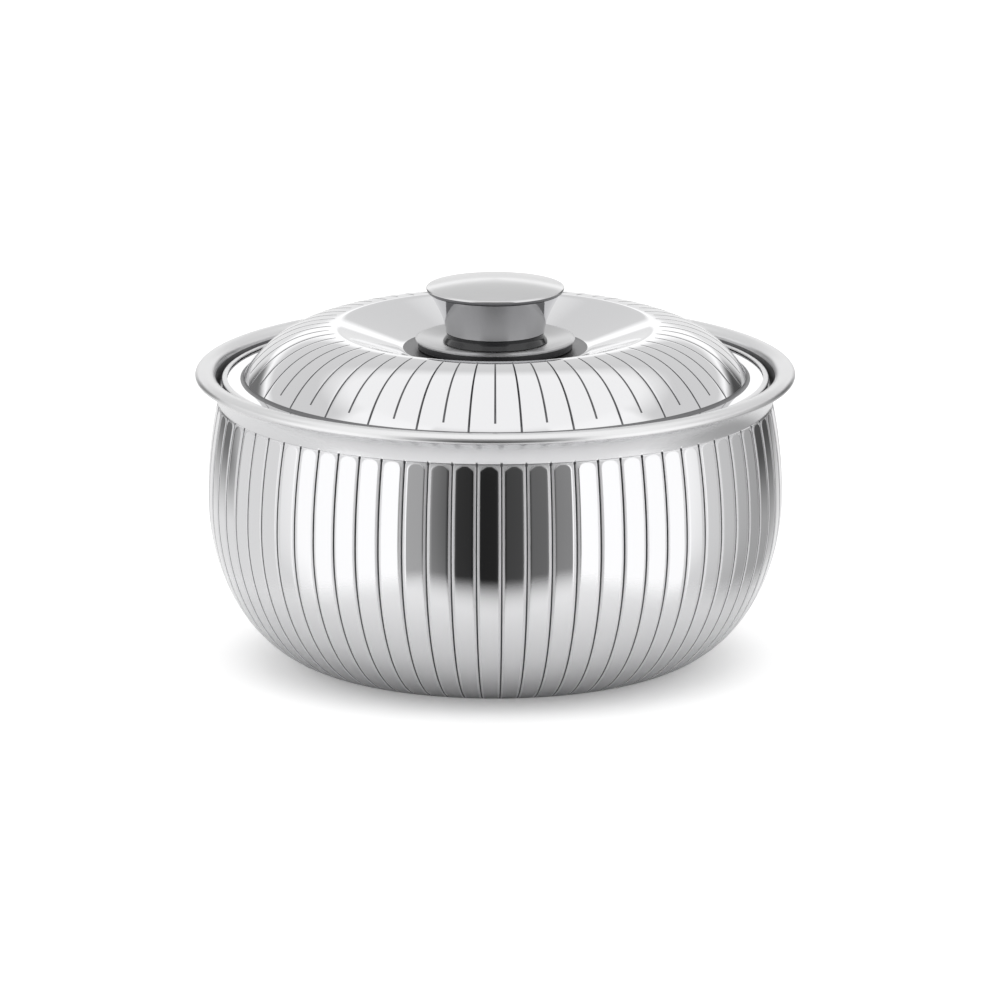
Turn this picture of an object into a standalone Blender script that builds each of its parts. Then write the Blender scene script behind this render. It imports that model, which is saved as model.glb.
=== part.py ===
"""Insulated serving casserole in stainless steel.

A double-walled pot with a fluted belly holds a drawn inner bowl in foam. Its fluted lid is
double-walled too, lies on the bowl's ledge with a seal ring, and has a turned knob in its well.
All lengths are in metres, +Z is up, and the origin is the centre of the ring the pot stands on.
"""

import math

import bmesh
import bpy
from mathutils import Matrix

# Clearances between pieces that touch
SEAT_GAP = 0.0003
SCREW_GAP = 0.0004
FOAM_GAP = 0.0004

# Outer shell of the pot, whose belly swells out from its neck and down to its base
NECK_RADIUS = 0.1202
BELLY_SWELL = 0.0044
BELLY_HEIGHT = 0.0730
SHOULDER_HEIGHT = 0.0415
BASE_RADIUS = 0.0720
FOOT_RING_WIDTH = 0.0045
FOOT_HEM_ROUND = 0.0012
FOOT_HEM_HEIGHT = 0.0042
FLARE_WIDTH = 0.0078
FLARE_HEIGHT = 0.0107
FLANGE_WIDTH = 0.0002
SHELL_SHEET = 0.0008

# Flutes of the belly
BELLY_FLUTES = 72
BELLY_FLUTE_WIDTH = 0.0017
BELLY_FLUTE_DEPTH = 0.0005
BELLY_FLUTE_RUNOUT = 0.0018

# Inner bowl: its rim folds over the shell's flange, and its ledge lies inside the rim
BOWL_SHEET = 0.0006
BOWL_FLOOR_HEIGHT = 0.0140
BOWL_CORNER_RADIUS = 0.0370
RIM_FOLD_ROOM = 0.0012
RIM_FOLD_RISE = 0.0006
RIM_HEM_WIDTH = 0.0003
RIM_EDGE_WIDTH = 0.0040
RIM_EDGE_RISE = 0.0028
RIM_MOUTH_WIDTH = 0.0048
RIM_MOUTH_DROP = 0.0038
LEDGE_INSET = 0.0016
LEDGE_DEPTH = 0.0043
LEDGE_WIDTH = 0.0116
LEDGE_ROUND = 0.0010
LEDGE_LIP_ROUND = 0.0016

# Base plate and the plug of its filling hole
BASE_SHEET = 0.0008
BASE_PLATE_HEIGHT = 0.0034
BASE_PLATE_ROUND = 0.0012
BASE_SKIRT_HEIGHT = 0.0022
BASE_PANEL_RADIUS = 0.0520
BASE_PANEL_RISE = 0.0015
BASE_PANEL_SLOPE = 0.0040
FILL_HOLE_RADIUS = 0.0050
PLUG_HEAD_RADIUS = 0.0080
PLUG_HEAD_THICKNESS = 0.0014
PLUG_STEM_LENGTH = 0.0060

# Seal ring between the lid and the bowl
SEAL_THICKNESS = 0.0012
SEAL_WIDTH = 0.0090
SEAL_SKIRT_LENGTH = 0.0045
LID_PLAY = 0.0020

# Outer shell of the lid and its flutes
LID_SHEET = 0.0008
LID_EDGE_PLAY = 0.0029
LID_FLANGE_WIDTH = 0.0073
DOME_CREST_RADIUS = 0.0684
DOME_RISE = 0.0228
DOME_BULGE = 0.0065
CREST_WIDTH = 0.0022
CREST_DROP = 0.0007
WELL_RADIUS = 0.0400
WELL_DEPTH = 0.0095
LID_FLUTES = 60
LID_FLUTE_WIDTH = 0.0015
LID_FLUTE_DEPTH = 0.0005
DOME_SHARES = (0, 0.10, 0.42, 0.72, 0.95, 1)

# Inner shell of the lid, whose edge is folded over the outer one
LID_INNER_SHEET = 0.0006
HEM_WIDTH = 0.0010
HEM_PLAY = 0.0005
LID_PLUG_DEPTH = 0.0110
LID_PLUG_ROUND = 0.0055
LID_PANEL_RADIUS = 0.0800
LID_PANEL_SLOPE = 0.0060
LID_PANEL_RISE = 0.0030

# Knob, from its disc up to its cap
DISC_RADIUS = 0.0346
DISC_SHEET = 0.0008
DISC_CENTRE_RADIUS = 0.0240
DISC_LIFT = 0.0028
DISC_DISH = 0.0020
DISC_LIP_WIDTH = 0.0012
DISC_LIP_DROP = 0.0005
COLLAR_RADIUS = 0.0227
COLLAR_WAIST_RADIUS = 0.0209
COLLAR_WAIST_HEIGHT = 0.0026
COLLAR_TOP_RADIUS = 0.0212
COLLAR_HEIGHT = 0.0041
NECK_FOOT_RADIUS = 0.0214
NECK_TOP_RADIUS = 0.0286
KNOB_NECK_HEIGHT = 0.0171
KNOB_NECK_SHEET = 0.0008
KNOB_NECK_CURVE = 1.58
CAP_RADIUS = 0.0300
CAP_LIP_RADIUS = 0.0292
CAP_LIP_WIDTH = 0.0012
CAP_CROWN_RISE = 0.0044
CAP_EDGE_HEIGHT = 0.0014
CAP_SHEET = 0.0010

# Fixing of the knob
SCREW_RADIUS = 0.0025
SCREW_HEAD_RADIUS = 0.0046
SCREW_HEAD_HEIGHT = 0.0035
SCREW_ENGAGEMENT = 0.0100
INSERT_RADIUS = 0.0045
INSERT_LENGTH = 0.0125
BACKING_RADIUS = 0.0120
BACKING_THICKNESS = 0.0012
SPRING_WASHER_RADIUS = 0.0045
SPRING_WASHER_THICKNESS = 0.0012
SPRING_WASHER_SPLIT = 0.0010
POCKET_CLEARANCE = 0.0012

# Flat steps round each piece, and along its curves
BOWL_STEPS = 32
HIDDEN_STEPS = 18
KNOB_STEPS = 24
SMALL_STEPS = 12
FLARE_STEPS = 2
UPPER_BELLY_STEPS = 2
LOWER_BELLY_STEPS = 4
BOWL_CORNER_STEPS = 3
RIM_STEPS = 2
BEND_STEPS = 1
RIM_CURL_STEPS = 2
LID_HEM_STEPS = 3
LID_PLUG_CORNER_STEPS = 2
CORE_HEAD_STEPS = 2
CAP_STEPS = 4
NECK_STEPS = 4
LOWER_FLUTE_END_ANGLE = 76
LOWER_RUNOUT_ANGLE = 83
MERGE_DISTANCE = 0.00001
SHARP_ANGLE = math.radians(35)

# Heights and radii that follow from the sizes above
BELLY_RADIUS = NECK_RADIUS + BELLY_SWELL
NECK_HEIGHT = BELLY_HEIGHT + SHOULDER_HEIGHT
FLANGE_RADIUS = NECK_RADIUS + FLARE_WIDTH + FLANGE_WIDTH
FLANGE_HEIGHT = NECK_HEIGHT + FLARE_HEIGHT
RIM_RADIUS = FLANGE_RADIUS + RIM_FOLD_ROOM + BOWL_SHEET
RIM_HEIGHT = FLANGE_HEIGHT + RIM_FOLD_RISE
RIM_CROWN_RADIUS = RIM_RADIUS - RIM_EDGE_WIDTH
RIM_CROWN_HEIGHT = RIM_HEIGHT + RIM_EDGE_RISE
RIM_MOUTH_RADIUS = RIM_CROWN_RADIUS - RIM_MOUTH_WIDTH
RIM_MOUTH_HEIGHT = RIM_CROWN_HEIGHT - RIM_MOUTH_DROP
LEDGE_RADIUS = RIM_MOUTH_RADIUS - LEDGE_INSET
LEDGE_HEIGHT = RIM_MOUTH_HEIGHT - LEDGE_DEPTH
BOWL_RADIUS = LEDGE_RADIUS - LEDGE_WIDTH
SEAL_HEIGHT = LEDGE_HEIGHT + SEAT_GAP
SEAL_TOP = SEAL_HEIGHT + SEAL_THICKNESS
LID_INNER_HEIGHT = SEAL_TOP + SEAT_GAP
LID_FLANGE_HEIGHT = LID_INNER_HEIGHT + LID_INNER_SHEET + SEAT_GAP + LID_SHEET
LID_PLUG_RADIUS = BOWL_RADIUS - LID_PLAY
LID_EDGE_RADIUS = LEDGE_RADIUS - LID_EDGE_PLAY
LID_PLUG_HEIGHT = LID_INNER_HEIGHT - LID_PLUG_DEPTH
DOME_FOOT_RADIUS = LID_EDGE_RADIUS - LID_FLANGE_WIDTH
CREST_HEIGHT = LID_FLANGE_HEIGHT + DOME_RISE
WELL_HEIGHT = CREST_HEIGHT - WELL_DEPTH
DISC_HEIGHT = WELL_HEIGHT + DISC_LIFT
COLLAR_FOOT = DISC_HEIGHT + SEAT_GAP
KNOB_FOOT = COLLAR_FOOT + COLLAR_HEIGHT + SEAT_GAP
KNOB_NECK_TOP = KNOB_FOOT + KNOB_NECK_HEIGHT
CAP_LIP_HEIGHT = KNOB_NECK_TOP + SEAT_GAP
CAP_RIM_HEIGHT = CAP_LIP_HEIGHT + CAP_EDGE_HEIGHT
SCREW_HOLE_RADIUS = SCREW_RADIUS + SCREW_GAP
BACKING_TOP = WELL_HEIGHT - LID_SHEET - SEAT_GAP
SPRING_WASHER_TOP = BACKING_TOP - BACKING_THICKNESS - SEAT_GAP
SCREW_HEAD_TOP = SPRING_WASHER_TOP - SPRING_WASHER_THICKNESS - SEAT_GAP
SCREW_HEAD_BOTTOM = SCREW_HEAD_TOP - SCREW_HEAD_HEIGHT


def make_finish(name, colour, roughness, metallic):
    """Plain material with one colour."""
    finish = bpy.data.materials.new(name)
    finish.use_nodes = True
    shader = finish.node_tree.nodes["Principled BSDF"]
    shader.inputs["Base Color"].default_value = (*colour, 1)
    shader.inputs["Roughness"].default_value = roughness
    shader.inputs["Metallic"].default_value = metallic
    return finish


def make_axis(name, height, parent=None):
    """Empty on the upright axis that pieces of one body hang from."""
    axis = bpy.data.objects.new(name, None)
    casserole.objects.link(axis)
    if parent:
        axis.parent = parent
        height -= parent.matrix_world.translation.z
    axis.location.z = height
    bpy.context.view_layer.update()
    return axis


def arc(centre, radii, start, end, steps):
    """Points of an ellipse arc in (radius, height), with angles in degrees from outwards."""
    points = []
    for index in range(steps + 1):
        angle = math.radians(start + (end - start) * index / steps)
        radius = centre[0] + radii[0] * math.cos(angle)
        height = centre[1] + radii[1] * math.sin(angle)
        points.append((radius, height))
    return points


def bend(centre, radius, start, end):
    """Round corner of a sheet."""
    return arc(centre, (radius, radius), start, end, BEND_STEPS)


def inward_normals(path):
    """Mitred normals to the right of a path, the side on which its metal lies."""
    sides = []
    for first, second in zip(path, path[1:]):
        run = second[0] - first[0]
        rise = second[1] - first[1]
        length = math.hypot(run, rise)
        sides.append((rise / length, -run / length))
    normals = []
    for before, after in zip(sides[:1] + sides, sides + sides[-1:]):
        scale = 1 + before[0] * after[0] + before[1] * after[1]
        normals.append(((before[0] + after[0]) / scale, (before[1] + after[1]) / scale))
    return normals


def offset_path(path, distance):
    """The path moved to its right by a distance, with its corners mitred."""
    moved = []
    for point, normal in zip(path, inward_normals(path)):
        radius = point[0] + normal[0] * distance
        moved.append((radius, point[1] + normal[1] * distance))
    return moved


def sheet(path, thickness):
    """Outline of a metal sheet whose skin is the path, with the metal on its right."""
    inside = offset_path(path, thickness)[::-1]
    if path[-1][0] == 0:
        return inside + path
    return path + inside


def until_radius(path, limit):
    """The start of a path that widens, cut where it reaches a radius."""
    kept = [path[0]]
    for point in path[1:]:
        before = kept[-1]
        if point[0] >= limit:
            share = (limit - before[0]) / (point[0] - before[0])
            return kept + [(limit, before[1] + (point[1] - before[1]) * share)]
        kept.append(point)
    return kept


def around(radius, steps):
    """Radius at the corners of a stepped bore that clears a round one."""
    return radius / math.cos(math.pi / steps)


def within(radius, steps):
    """Radius of the round that fits inside a stepped bore with corners at a radius."""
    return radius * math.cos(math.pi / steps)


def place(name, mesh, finish, parent, height):
    """Object whose origin lies on the axis at the height where the piece is seated."""
    item = bpy.data.objects.new(name, mesh)
    casserole.objects.link(item)
    mesh.transform(Matrix.Translation((0, 0, -height)))
    item.parent = parent
    item.location.z = height - parent.matrix_world.translation.z
    mesh.materials.append(finish)
    return item


def shade(item):
    """Smooth shading that keeps the piece's sharp edges."""
    item.data.shade_smooth()
    item.data.set_sharp_from_angle(angle=SHARP_ANGLE)


def turned(name, outline, steps, finish, parent, height):
    """Solid of revolution; its outline runs down the outer side, with the metal on its right."""
    mesh = bpy.data.meshes.new(name)
    edges = [(index, index + 1) for index in range(len(outline) - 1)]
    if outline[0][0] > 0:
        edges.append((len(outline) - 1, 0))
    mesh.from_pydata([(radius, 0, level) for radius, level in outline], edges, [])
    item = place(name, mesh, finish, parent, height)
    screw = item.modifiers.new("turn", "SCREW")
    screw.steps = steps
    screw.render_steps = steps
    screw.use_merge_vertices = True
    screw.merge_threshold = MERGE_DISTANCE
    apply_modifiers(item)
    shade(item)
    return item


def apply_modifiers(item):
    """Puts the evaluated mesh in place of the one with modifiers."""
    seen = item.evaluated_get(bpy.context.evaluated_depsgraph_get())
    solid = bpy.data.meshes.new_from_object(seen)
    profile = item.data
    item.modifiers.clear()
    item.data = solid
    bpy.data.meshes.remove(profile)
    solid.name = item.name


def fluted(name, rings, inner_path, flutes, width, finish, parent, height):
    """Closed shell whose outer rings are (radius, height, groove), where a groove steps inwards.

    A grooved ring has three corners for each flute, its bottom and both its shoulders, and a
    plain one has one, so the flutes run out to a point between them. The hidden inner skin has
    one corner for each pair of flutes.
    """
    body = bmesh.new()
    loops = [outer_loop(body, ring, flutes, width) for ring in rings]
    loops += [inner_loop(body, point, flutes) for point in inner_path]
    for upper, lower in zip(loops, loops[1:] + loops[:1]):
        step = 1 if all(upper) and all(lower) else 2
        for index in range(0, flutes, step):
            bridge(body, stretch(upper, index, step), stretch(lower, index, step))
    mesh = bpy.data.meshes.new(name)
    body.to_mesh(mesh)
    body.free()
    item = place(name, mesh, finish, parent, height)
    shade(item)
    return item


def add_corner(body, radius, level, angle):
    """New corner of a ring, at an angle round the axis."""
    return body.verts.new((radius * math.cos(angle), radius * math.sin(angle), level))


def outer_loop(body, ring, flutes, width):
    """Corners of an outer ring, as a list for each flute."""
    radius, level, groove = ring
    half = width / radius / 2
    loop = []
    for index in range(flutes):
        angle = math.tau * index / flutes
        if groove is None:
            loop.append([add_corner(body, radius, level, angle)])
            continue
        next_angle = math.tau * (index + 1) / flutes
        bottom = add_corner(body, radius + groove[0], level + groove[1], angle)
        shoulder = add_corner(body, radius, level, angle + half)
        next_shoulder = add_corner(body, radius, level, next_angle - half)
        loop.append([bottom, shoulder, next_shoulder])
    return loop


def inner_loop(body, point, flutes):
    """Corners of an inner ring, at every second flute."""
    loop = [[] for flute in range(flutes)]
    for index in range(0, flutes, 2):
        loop[index].append(add_corner(body, *point, math.tau * index / flutes))
    return loop


def stretch(loop, start, count):
    """Corners of some flutes in a row, and the first corner of the flute after them."""
    corners = []
    for index in range(start, start + count):
        corners += loop[index]
    return corners + loop[(start + count) % len(loop)][:1]


def bridge(body, upper, lower):
    """Faces between two stretches of ring, of which one may have more corners."""
    if len(upper) == len(lower):
        for index in range(len(upper) - 1):
            body.faces.new((upper[index], lower[index], lower[index + 1], upper[index + 1]))
    elif len(upper) < len(lower):
        body.faces.new((upper[0], lower[0], lower[1]))
        body.faces.new((upper[0], lower[1], lower[2], upper[1]))
        if len(lower) == 4:
            body.faces.new((upper[1], lower[2], lower[3]))
    else:
        body.faces.new((upper[0], lower[0], upper[1]))
        body.faces.new((upper[1], lower[0], lower[1], upper[2]))
        if len(upper) == 4:
            body.faces.new((upper[2], lower[1], upper[3]))


def grooved_rings(path, first, last, depth):
    """Rings at a path's points, with grooves at those from first to last."""
    rings = []
    for index, (point, normal) in enumerate(zip(path, inward_normals(path))):
        groove = None
        if first <= index <= last:
            groove = (normal[0] * depth, normal[1] * depth)
        rings.append((*point, groove))
    return rings


def flare_path():
    """Trumpet between the flange under the rim and the neck, from the top down."""
    centre = (NECK_RADIUS + FLARE_WIDTH, NECK_HEIGHT)
    flange_edge = (FLANGE_RADIUS, FLANGE_HEIGHT)
    return [flange_edge] + arc(centre, (FLARE_WIDTH, FLARE_HEIGHT), 90, 180, FLARE_STEPS)


def upper_belly_path():
    """Belly from the tops of the flutes down to its widest ring."""
    top = NECK_HEIGHT - BELLY_FLUTE_RUNOUT
    points = []
    for index in range(UPPER_BELLY_STEPS):
        level = top + (BELLY_HEIGHT - top) * index / UPPER_BELLY_STEPS
        share = (level - BELLY_HEIGHT) / SHOULDER_HEIGHT
        radius = BELLY_RADIUS - BELLY_SWELL * share * share
        points.append((radius, level))
    return points


def lower_belly_path(end_angle, steps):
    """Quarter ellipse from the widest ring down to the base."""
    radii = (BELLY_RADIUS - BASE_RADIUS, BELLY_HEIGHT)
    return arc((BASE_RADIUS, BELLY_HEIGHT), radii, 0, -end_angle, steps)


def foot_path():
    """Flat ring that the pot stands on, and the hem turned up inside it."""
    runout = lower_belly_path(LOWER_RUNOUT_ANGLE, 1)[-1]
    ring_outer = (BASE_RADIUS + FOOT_RING_WIDTH, 0)
    hem = bend((BASE_RADIUS, FOOT_HEM_ROUND), FOOT_HEM_ROUND, -90, -180)
    return [runout, ring_outer] + hem + [(BASE_RADIUS - FOOT_HEM_ROUND, FOOT_HEM_HEIGHT)]


def belly_path():
    """Part of the outer shell that has flutes."""
    return upper_belly_path() + lower_belly_path(LOWER_FLUTE_END_ANGLE, LOWER_BELLY_STEPS)


def outer_shell_path():
    return flare_path() + belly_path() + foot_path()


def make_outer_shell(finish, parent):
    """Spun belly with rolled flutes, whose flange lies in the fold of the bowl's rim."""
    outer = outer_shell_path()
    first = len(flare_path())
    last = first + len(belly_path()) - 1
    rings = grooved_rings(outer, first, last, BELLY_FLUTE_DEPTH)
    inner = offset_path(outer, SHELL_SHEET)[::-1]
    width = BELLY_FLUTE_WIDTH
    fluted("outer_shell", rings, inner, BELLY_FLUTES, width, finish, parent, 0)


def bowl_wall_path():
    """Inside of the bowl from the middle of its floor to the outer end of its flat ledge."""
    corner_centre = (BOWL_RADIUS - BOWL_CORNER_RADIUS, BOWL_FLOOR_HEIGHT + BOWL_CORNER_RADIUS)
    corner_radii = (BOWL_CORNER_RADIUS, BOWL_CORNER_RADIUS)
    corner = arc(corner_centre, corner_radii, -90, 0, BOWL_CORNER_STEPS)
    lip_centre = (BOWL_RADIUS + LEDGE_LIP_ROUND, LEDGE_HEIGHT - LEDGE_LIP_ROUND)
    lip = bend(lip_centre, LEDGE_LIP_ROUND, 180, 90)
    return [(0, BOWL_FLOOR_HEIGHT)] + corner + lip + [(LEDGE_RADIUS - LEDGE_ROUND, LEDGE_HEIGHT)]


def bowl_rim_path():
    """Rest of the bowl's skin: the ledge's corner, the rim's two slopes and its curled edge."""
    corner_centre = (LEDGE_RADIUS - LEDGE_ROUND, LEDGE_HEIGHT + LEDGE_ROUND)
    corner = bend(corner_centre, LEDGE_ROUND, -90, 0)
    mouth_radii = (RIM_MOUTH_WIDTH, RIM_MOUTH_DROP)
    mouth = arc((RIM_CROWN_RADIUS, RIM_MOUTH_HEIGHT), mouth_radii, 180, 90, RIM_STEPS)
    edge_radii = (RIM_EDGE_WIDTH, RIM_EDGE_RISE)
    edge = arc((RIM_CROWN_RADIUS, RIM_HEIGHT), edge_radii, 90, 0, RIM_STEPS)
    hem_height = FLANGE_HEIGHT - SEAT_GAP - BOWL_SHEET
    curl_radius = RIM_HEIGHT - hem_height
    curl_centre = (RIM_RADIUS - curl_radius, RIM_HEIGHT)
    curl = arc(curl_centre, (curl_radius, curl_radius), 0, -90, RIM_CURL_STEPS)
    hem_end = (RIM_RADIUS - curl_radius - RIM_HEM_WIDTH, hem_height)
    return corner[1:] + mouth + edge[1:] + curl[1:] + [hem_end]


def make_inner_bowl(finish, parent):
    """Drawn bowl whose rim is rolled over the outer shell's flange."""
    outline = sheet(bowl_wall_path() + bowl_rim_path(), BOWL_SHEET)
    turned("inner_bowl", outline, BOWL_STEPS, finish, parent, BOWL_FLOOR_HEIGHT)


def base_plate_path():
    """Upper skin of the base plate, from its filling hole out and down its skirt."""
    radius = within(BASE_RADIUS - FOOT_HEM_ROUND, BELLY_FLUTES) - SEAT_GAP
    panel_height = BASE_PLATE_HEIGHT + BASE_PANEL_RISE
    slope_end = (BASE_PANEL_RADIUS + BASE_PANEL_SLOPE, BASE_PLATE_HEIGHT)
    centre = (radius - BASE_PLATE_ROUND, BASE_PLATE_HEIGHT - BASE_PLATE_ROUND)
    edge = bend(centre, BASE_PLATE_ROUND, 90, 0)
    skirt_end = (radius, BASE_PLATE_HEIGHT - BASE_SKIRT_HEIGHT)
    hole = [(FILL_HOLE_RADIUS, panel_height), (BASE_PANEL_RADIUS, panel_height)]
    return hole + [slope_end] + edge + [skirt_end]


def make_base_plate(finish, parent):
    """Pressed plate that closes the base inside the foot's hem."""
    outline = sheet(base_plate_path(), BASE_SHEET)
    turned("base_plate", outline, HIDDEN_STEPS, finish, parent, BASE_PLATE_HEIGHT)


def plug_head_top():
    return BASE_PLATE_HEIGHT + BASE_PANEL_RISE - BASE_SHEET - SEAT_GAP


def make_fill_plug(finish, parent):
    """Plug of the hole through which the foam is poured."""
    head_top = plug_head_top()
    stem_radius = within(FILL_HOLE_RADIUS, HIDDEN_STEPS) - SEAT_GAP
    stem_top = head_top + PLUG_STEM_LENGTH
    head_bottom = head_top - PLUG_HEAD_THICKNESS
    outline = [
        (0, stem_top),
        (stem_radius, stem_top),
        (stem_radius, head_top),
        (PLUG_HEAD_RADIUS, head_top),
        (PLUG_HEAD_RADIUS, head_bottom),
        (0, head_bottom),
    ]
    turned("fill_plug", outline, SMALL_STEPS, finish, parent, head_top)


def make_pot_insulation(finish, parent):
    """Foam that fills the pot between the bowl, the outer shell and the base plate."""
    cavity = offset_path(bowl_wall_path(), BOWL_SHEET + FOAM_GAP)
    ledge_end = cavity.pop()
    cavity = [(around(radius, HIDDEN_STEPS), level) for radius, level in cavity]
    plate_top = [(radius, level + FOAM_GAP) for radius, level in base_plate_path()[:3]]
    hem_top = FOOT_HEM_HEIGHT + FOAM_GAP
    shell = offset_path(outer_shell_path(), SHELL_SHEET + FOAM_GAP)
    shell = [(within(radius, BELLY_FLUTES / 2), level) for radius, level in shell]
    shell = [point for point in shell if hem_top < point[1] < ledge_end[1]]
    hem_side = (BASE_RADIUS - FOOT_HEM_ROUND, hem_top)
    pocket_radius = around(FILL_HOLE_RADIUS, HIDDEN_STEPS)
    pocket_top = plug_head_top() + PLUG_STEM_LENGTH + FOAM_GAP
    pocket = [(pocket_radius, plate_top[0][1]), (pocket_radius, pocket_top), (0, pocket_top)]
    outline = cavity + [ledge_end] + shell + [hem_side] + plate_top[:0:-1] + pocket
    turned("pot_insulation", outline, HIDDEN_STEPS, finish, parent, BASE_PLATE_HEIGHT)


def make_lid_seal(finish, parent):
    """Silicone ring stretched on the lid's plug, which lies on the bowl's ledge."""
    inner = around(LID_PLUG_RADIUS + SEAT_GAP, BOWL_STEPS)
    skirt = BOWL_RADIUS - SEAT_GAP
    skirt_end = SEAL_HEIGHT - SEAL_SKIRT_LENGTH
    outline = [
        (inner, SEAL_TOP),
        (inner + SEAL_WIDTH, SEAL_TOP),
        (inner + SEAL_WIDTH, SEAL_HEIGHT),
        (skirt, SEAL_HEIGHT),
        (skirt, skirt_end),
        (inner, skirt_end),
    ]
    turned("lid_seal", outline, BOWL_STEPS, finish, parent, SEAL_HEIGHT)


def dome_path():
    """Fluted dome from the crest of the well out to its foot on the flange."""
    width = DOME_FOOT_RADIUS - DOME_CREST_RADIUS
    length = math.hypot(width, DOME_RISE)
    points = []
    for share in DOME_SHARES:
        swell = 4 * DOME_BULGE * share * (1 - share)
        radius = DOME_CREST_RADIUS + width * share + swell * DOME_RISE / length
        level = CREST_HEIGHT - DOME_RISE * share + swell * width / length
        points.append((radius, level))
    return points


def lid_outer_path():
    """Upper skin of the lid, from the hole for the knob's screw to its edge."""
    well = [
        (SCREW_HOLE_RADIUS, WELL_HEIGHT),
        (WELL_RADIUS, WELL_HEIGHT),
        (DOME_CREST_RADIUS - CREST_WIDTH, CREST_HEIGHT - CREST_DROP),
    ]
    return well + dome_path() + [(LID_EDGE_RADIUS, LID_FLANGE_HEIGHT)]


def make_lid_outer_shell(finish, parent):
    """Spun lid with a plain well, a fluted dome and a flat flange."""
    outer = lid_outer_path()
    last = len(outer) - 3
    first = last - len(DOME_SHARES) + 3
    rings = grooved_rings(outer, first, last, LID_FLUTE_DEPTH)
    inner = offset_path(outer, LID_SHEET)[::-1]
    width = LID_FLUTE_WIDTH
    height = LID_FLANGE_HEIGHT - LID_SHEET
    fluted("lid_outer_shell", rings, inner, LID_FLUTES, width, finish, parent, height)


def lid_inner_path():
    """Skin of the lid's inner shell: its hem, its flange, and its plug as seen from below."""
    hem_top = LID_FLANGE_HEIGHT + SEAT_GAP + LID_INNER_SHEET
    hem_round = (hem_top - LID_INNER_HEIGHT) / 2
    hem_centre = (LID_EDGE_RADIUS + HEM_PLAY, LID_INNER_HEIGHT + hem_round)
    hem = arc(hem_centre, (hem_round, hem_round), 90, -90, LID_HEM_STEPS)
    hem_end = (hem_centre[0] - HEM_WIDTH, hem_top)
    return [hem_end] + hem + [(LID_PLUG_RADIUS, LID_INNER_HEIGHT)] + lid_plug_path()


def lid_plug_path():
    """Plug that dips into the bowl, with a raised panel that stiffens it."""
    centre = (LID_PLUG_RADIUS - LID_PLUG_ROUND, LID_PLUG_HEIGHT + LID_PLUG_ROUND)
    corner = arc(centre, (LID_PLUG_ROUND, LID_PLUG_ROUND), 0, -90, LID_PLUG_CORNER_STEPS)
    panel_foot = (LID_PANEL_RADIUS + LID_PANEL_SLOPE, LID_PLUG_HEIGHT)
    panel_height = LID_PLUG_HEIGHT + LID_PANEL_RISE
    return corner + [panel_foot, (LID_PANEL_RADIUS, panel_height), (0, panel_height)]


def make_lid_inner_shell(finish, parent):
    """Pressed inner shell, folded over the edge of the outer one."""
    outline = sheet(lid_inner_path(), LID_INNER_SHEET)
    turned("lid_inner_shell", outline, BOWL_STEPS, finish, parent, LID_INNER_HEIGHT)


def make_lid_insulation(finish, parent):
    """Foam between the lid's shells, with a pocket round the fixing of the knob."""
    pocket_radius = BACKING_RADIUS + POCKET_CLEARANCE
    pocket_floor = SCREW_HEAD_BOTTOM - POCKET_CLEARANCE
    wall_radius = within(LID_PLUG_RADIUS - LID_INNER_SHEET, BOWL_STEPS) - FOAM_GAP
    skin = offset_path(lid_outer_path()[1:], LID_SHEET + FOAM_GAP)
    roof = [(around(radius, HIDDEN_STEPS), level) for radius, level in skin[:2]]
    roof += [(within(radius, LID_FLUTES / 2), level) for radius, level in skin[2:]]
    roof = until_radius(roof, wall_radius)
    pocket = [(0, pocket_floor), (pocket_radius, pocket_floor), (pocket_radius, roof[0][1])]
    plug = offset_path(lid_plug_path(), LID_INNER_SHEET + FOAM_GAP)
    corner_count = LID_PLUG_CORNER_STEPS + 1
    corner = [(within(radius, BOWL_STEPS), level) for radius, level in plug[:corner_count]]
    corner[0] = (wall_radius, plug[0][1])
    panel = [(around(radius, HIDDEN_STEPS), level) for radius, level in plug[corner_count:]]
    outline = pocket + roof + corner + panel
    turned("lid_insulation", outline, HIDDEN_STEPS, finish, parent, LID_PLUG_HEIGHT)


def disc_path():
    """Upper skin of the knob's dished disc."""
    rim_height = DISC_HEIGHT + DISC_DISH
    return [
        (SCREW_HOLE_RADIUS, DISC_HEIGHT),
        (DISC_CENTRE_RADIUS, DISC_HEIGHT),
        (DISC_RADIUS - DISC_LIP_WIDTH, rim_height),
        (DISC_RADIUS, rim_height - DISC_LIP_DROP),
    ]


def make_knob_disc(finish, parent):
    """Dished steel disc between the knob and the well."""
    turned("knob_disc", sheet(disc_path(), DISC_SHEET), KNOB_STEPS, finish, parent, DISC_HEIGHT)


def make_knob_spacer(finish, parent):
    """Plastic ring that holds the disc up from the floor of the well."""
    top = offset_path(disc_path(), DISC_SHEET + SEAT_GAP)[:-1]
    top[-1] = (DISC_RADIUS - DISC_LIP_WIDTH, top[-1][1])
    bottom = WELL_HEIGHT + SEAT_GAP
    outline = top + [(top[-1][0], bottom), (top[0][0], bottom)]
    turned("knob_spacer", outline, KNOB_STEPS, finish, parent, bottom)


def make_knob_collar(finish, parent):
    """Waisted plastic ring that keeps the heat of the disc from the knob."""
    top = COLLAR_FOOT + COLLAR_HEIGHT
    outline = [
        (SCREW_HOLE_RADIUS, top),
        (COLLAR_TOP_RADIUS, top),
        (COLLAR_WAIST_RADIUS, COLLAR_FOOT + COLLAR_WAIST_HEIGHT),
        (COLLAR_RADIUS, COLLAR_FOOT),
        (SCREW_HOLE_RADIUS, COLLAR_FOOT),
    ]
    turned("knob_collar", outline, KNOB_STEPS, finish, parent, COLLAR_FOOT)


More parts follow.
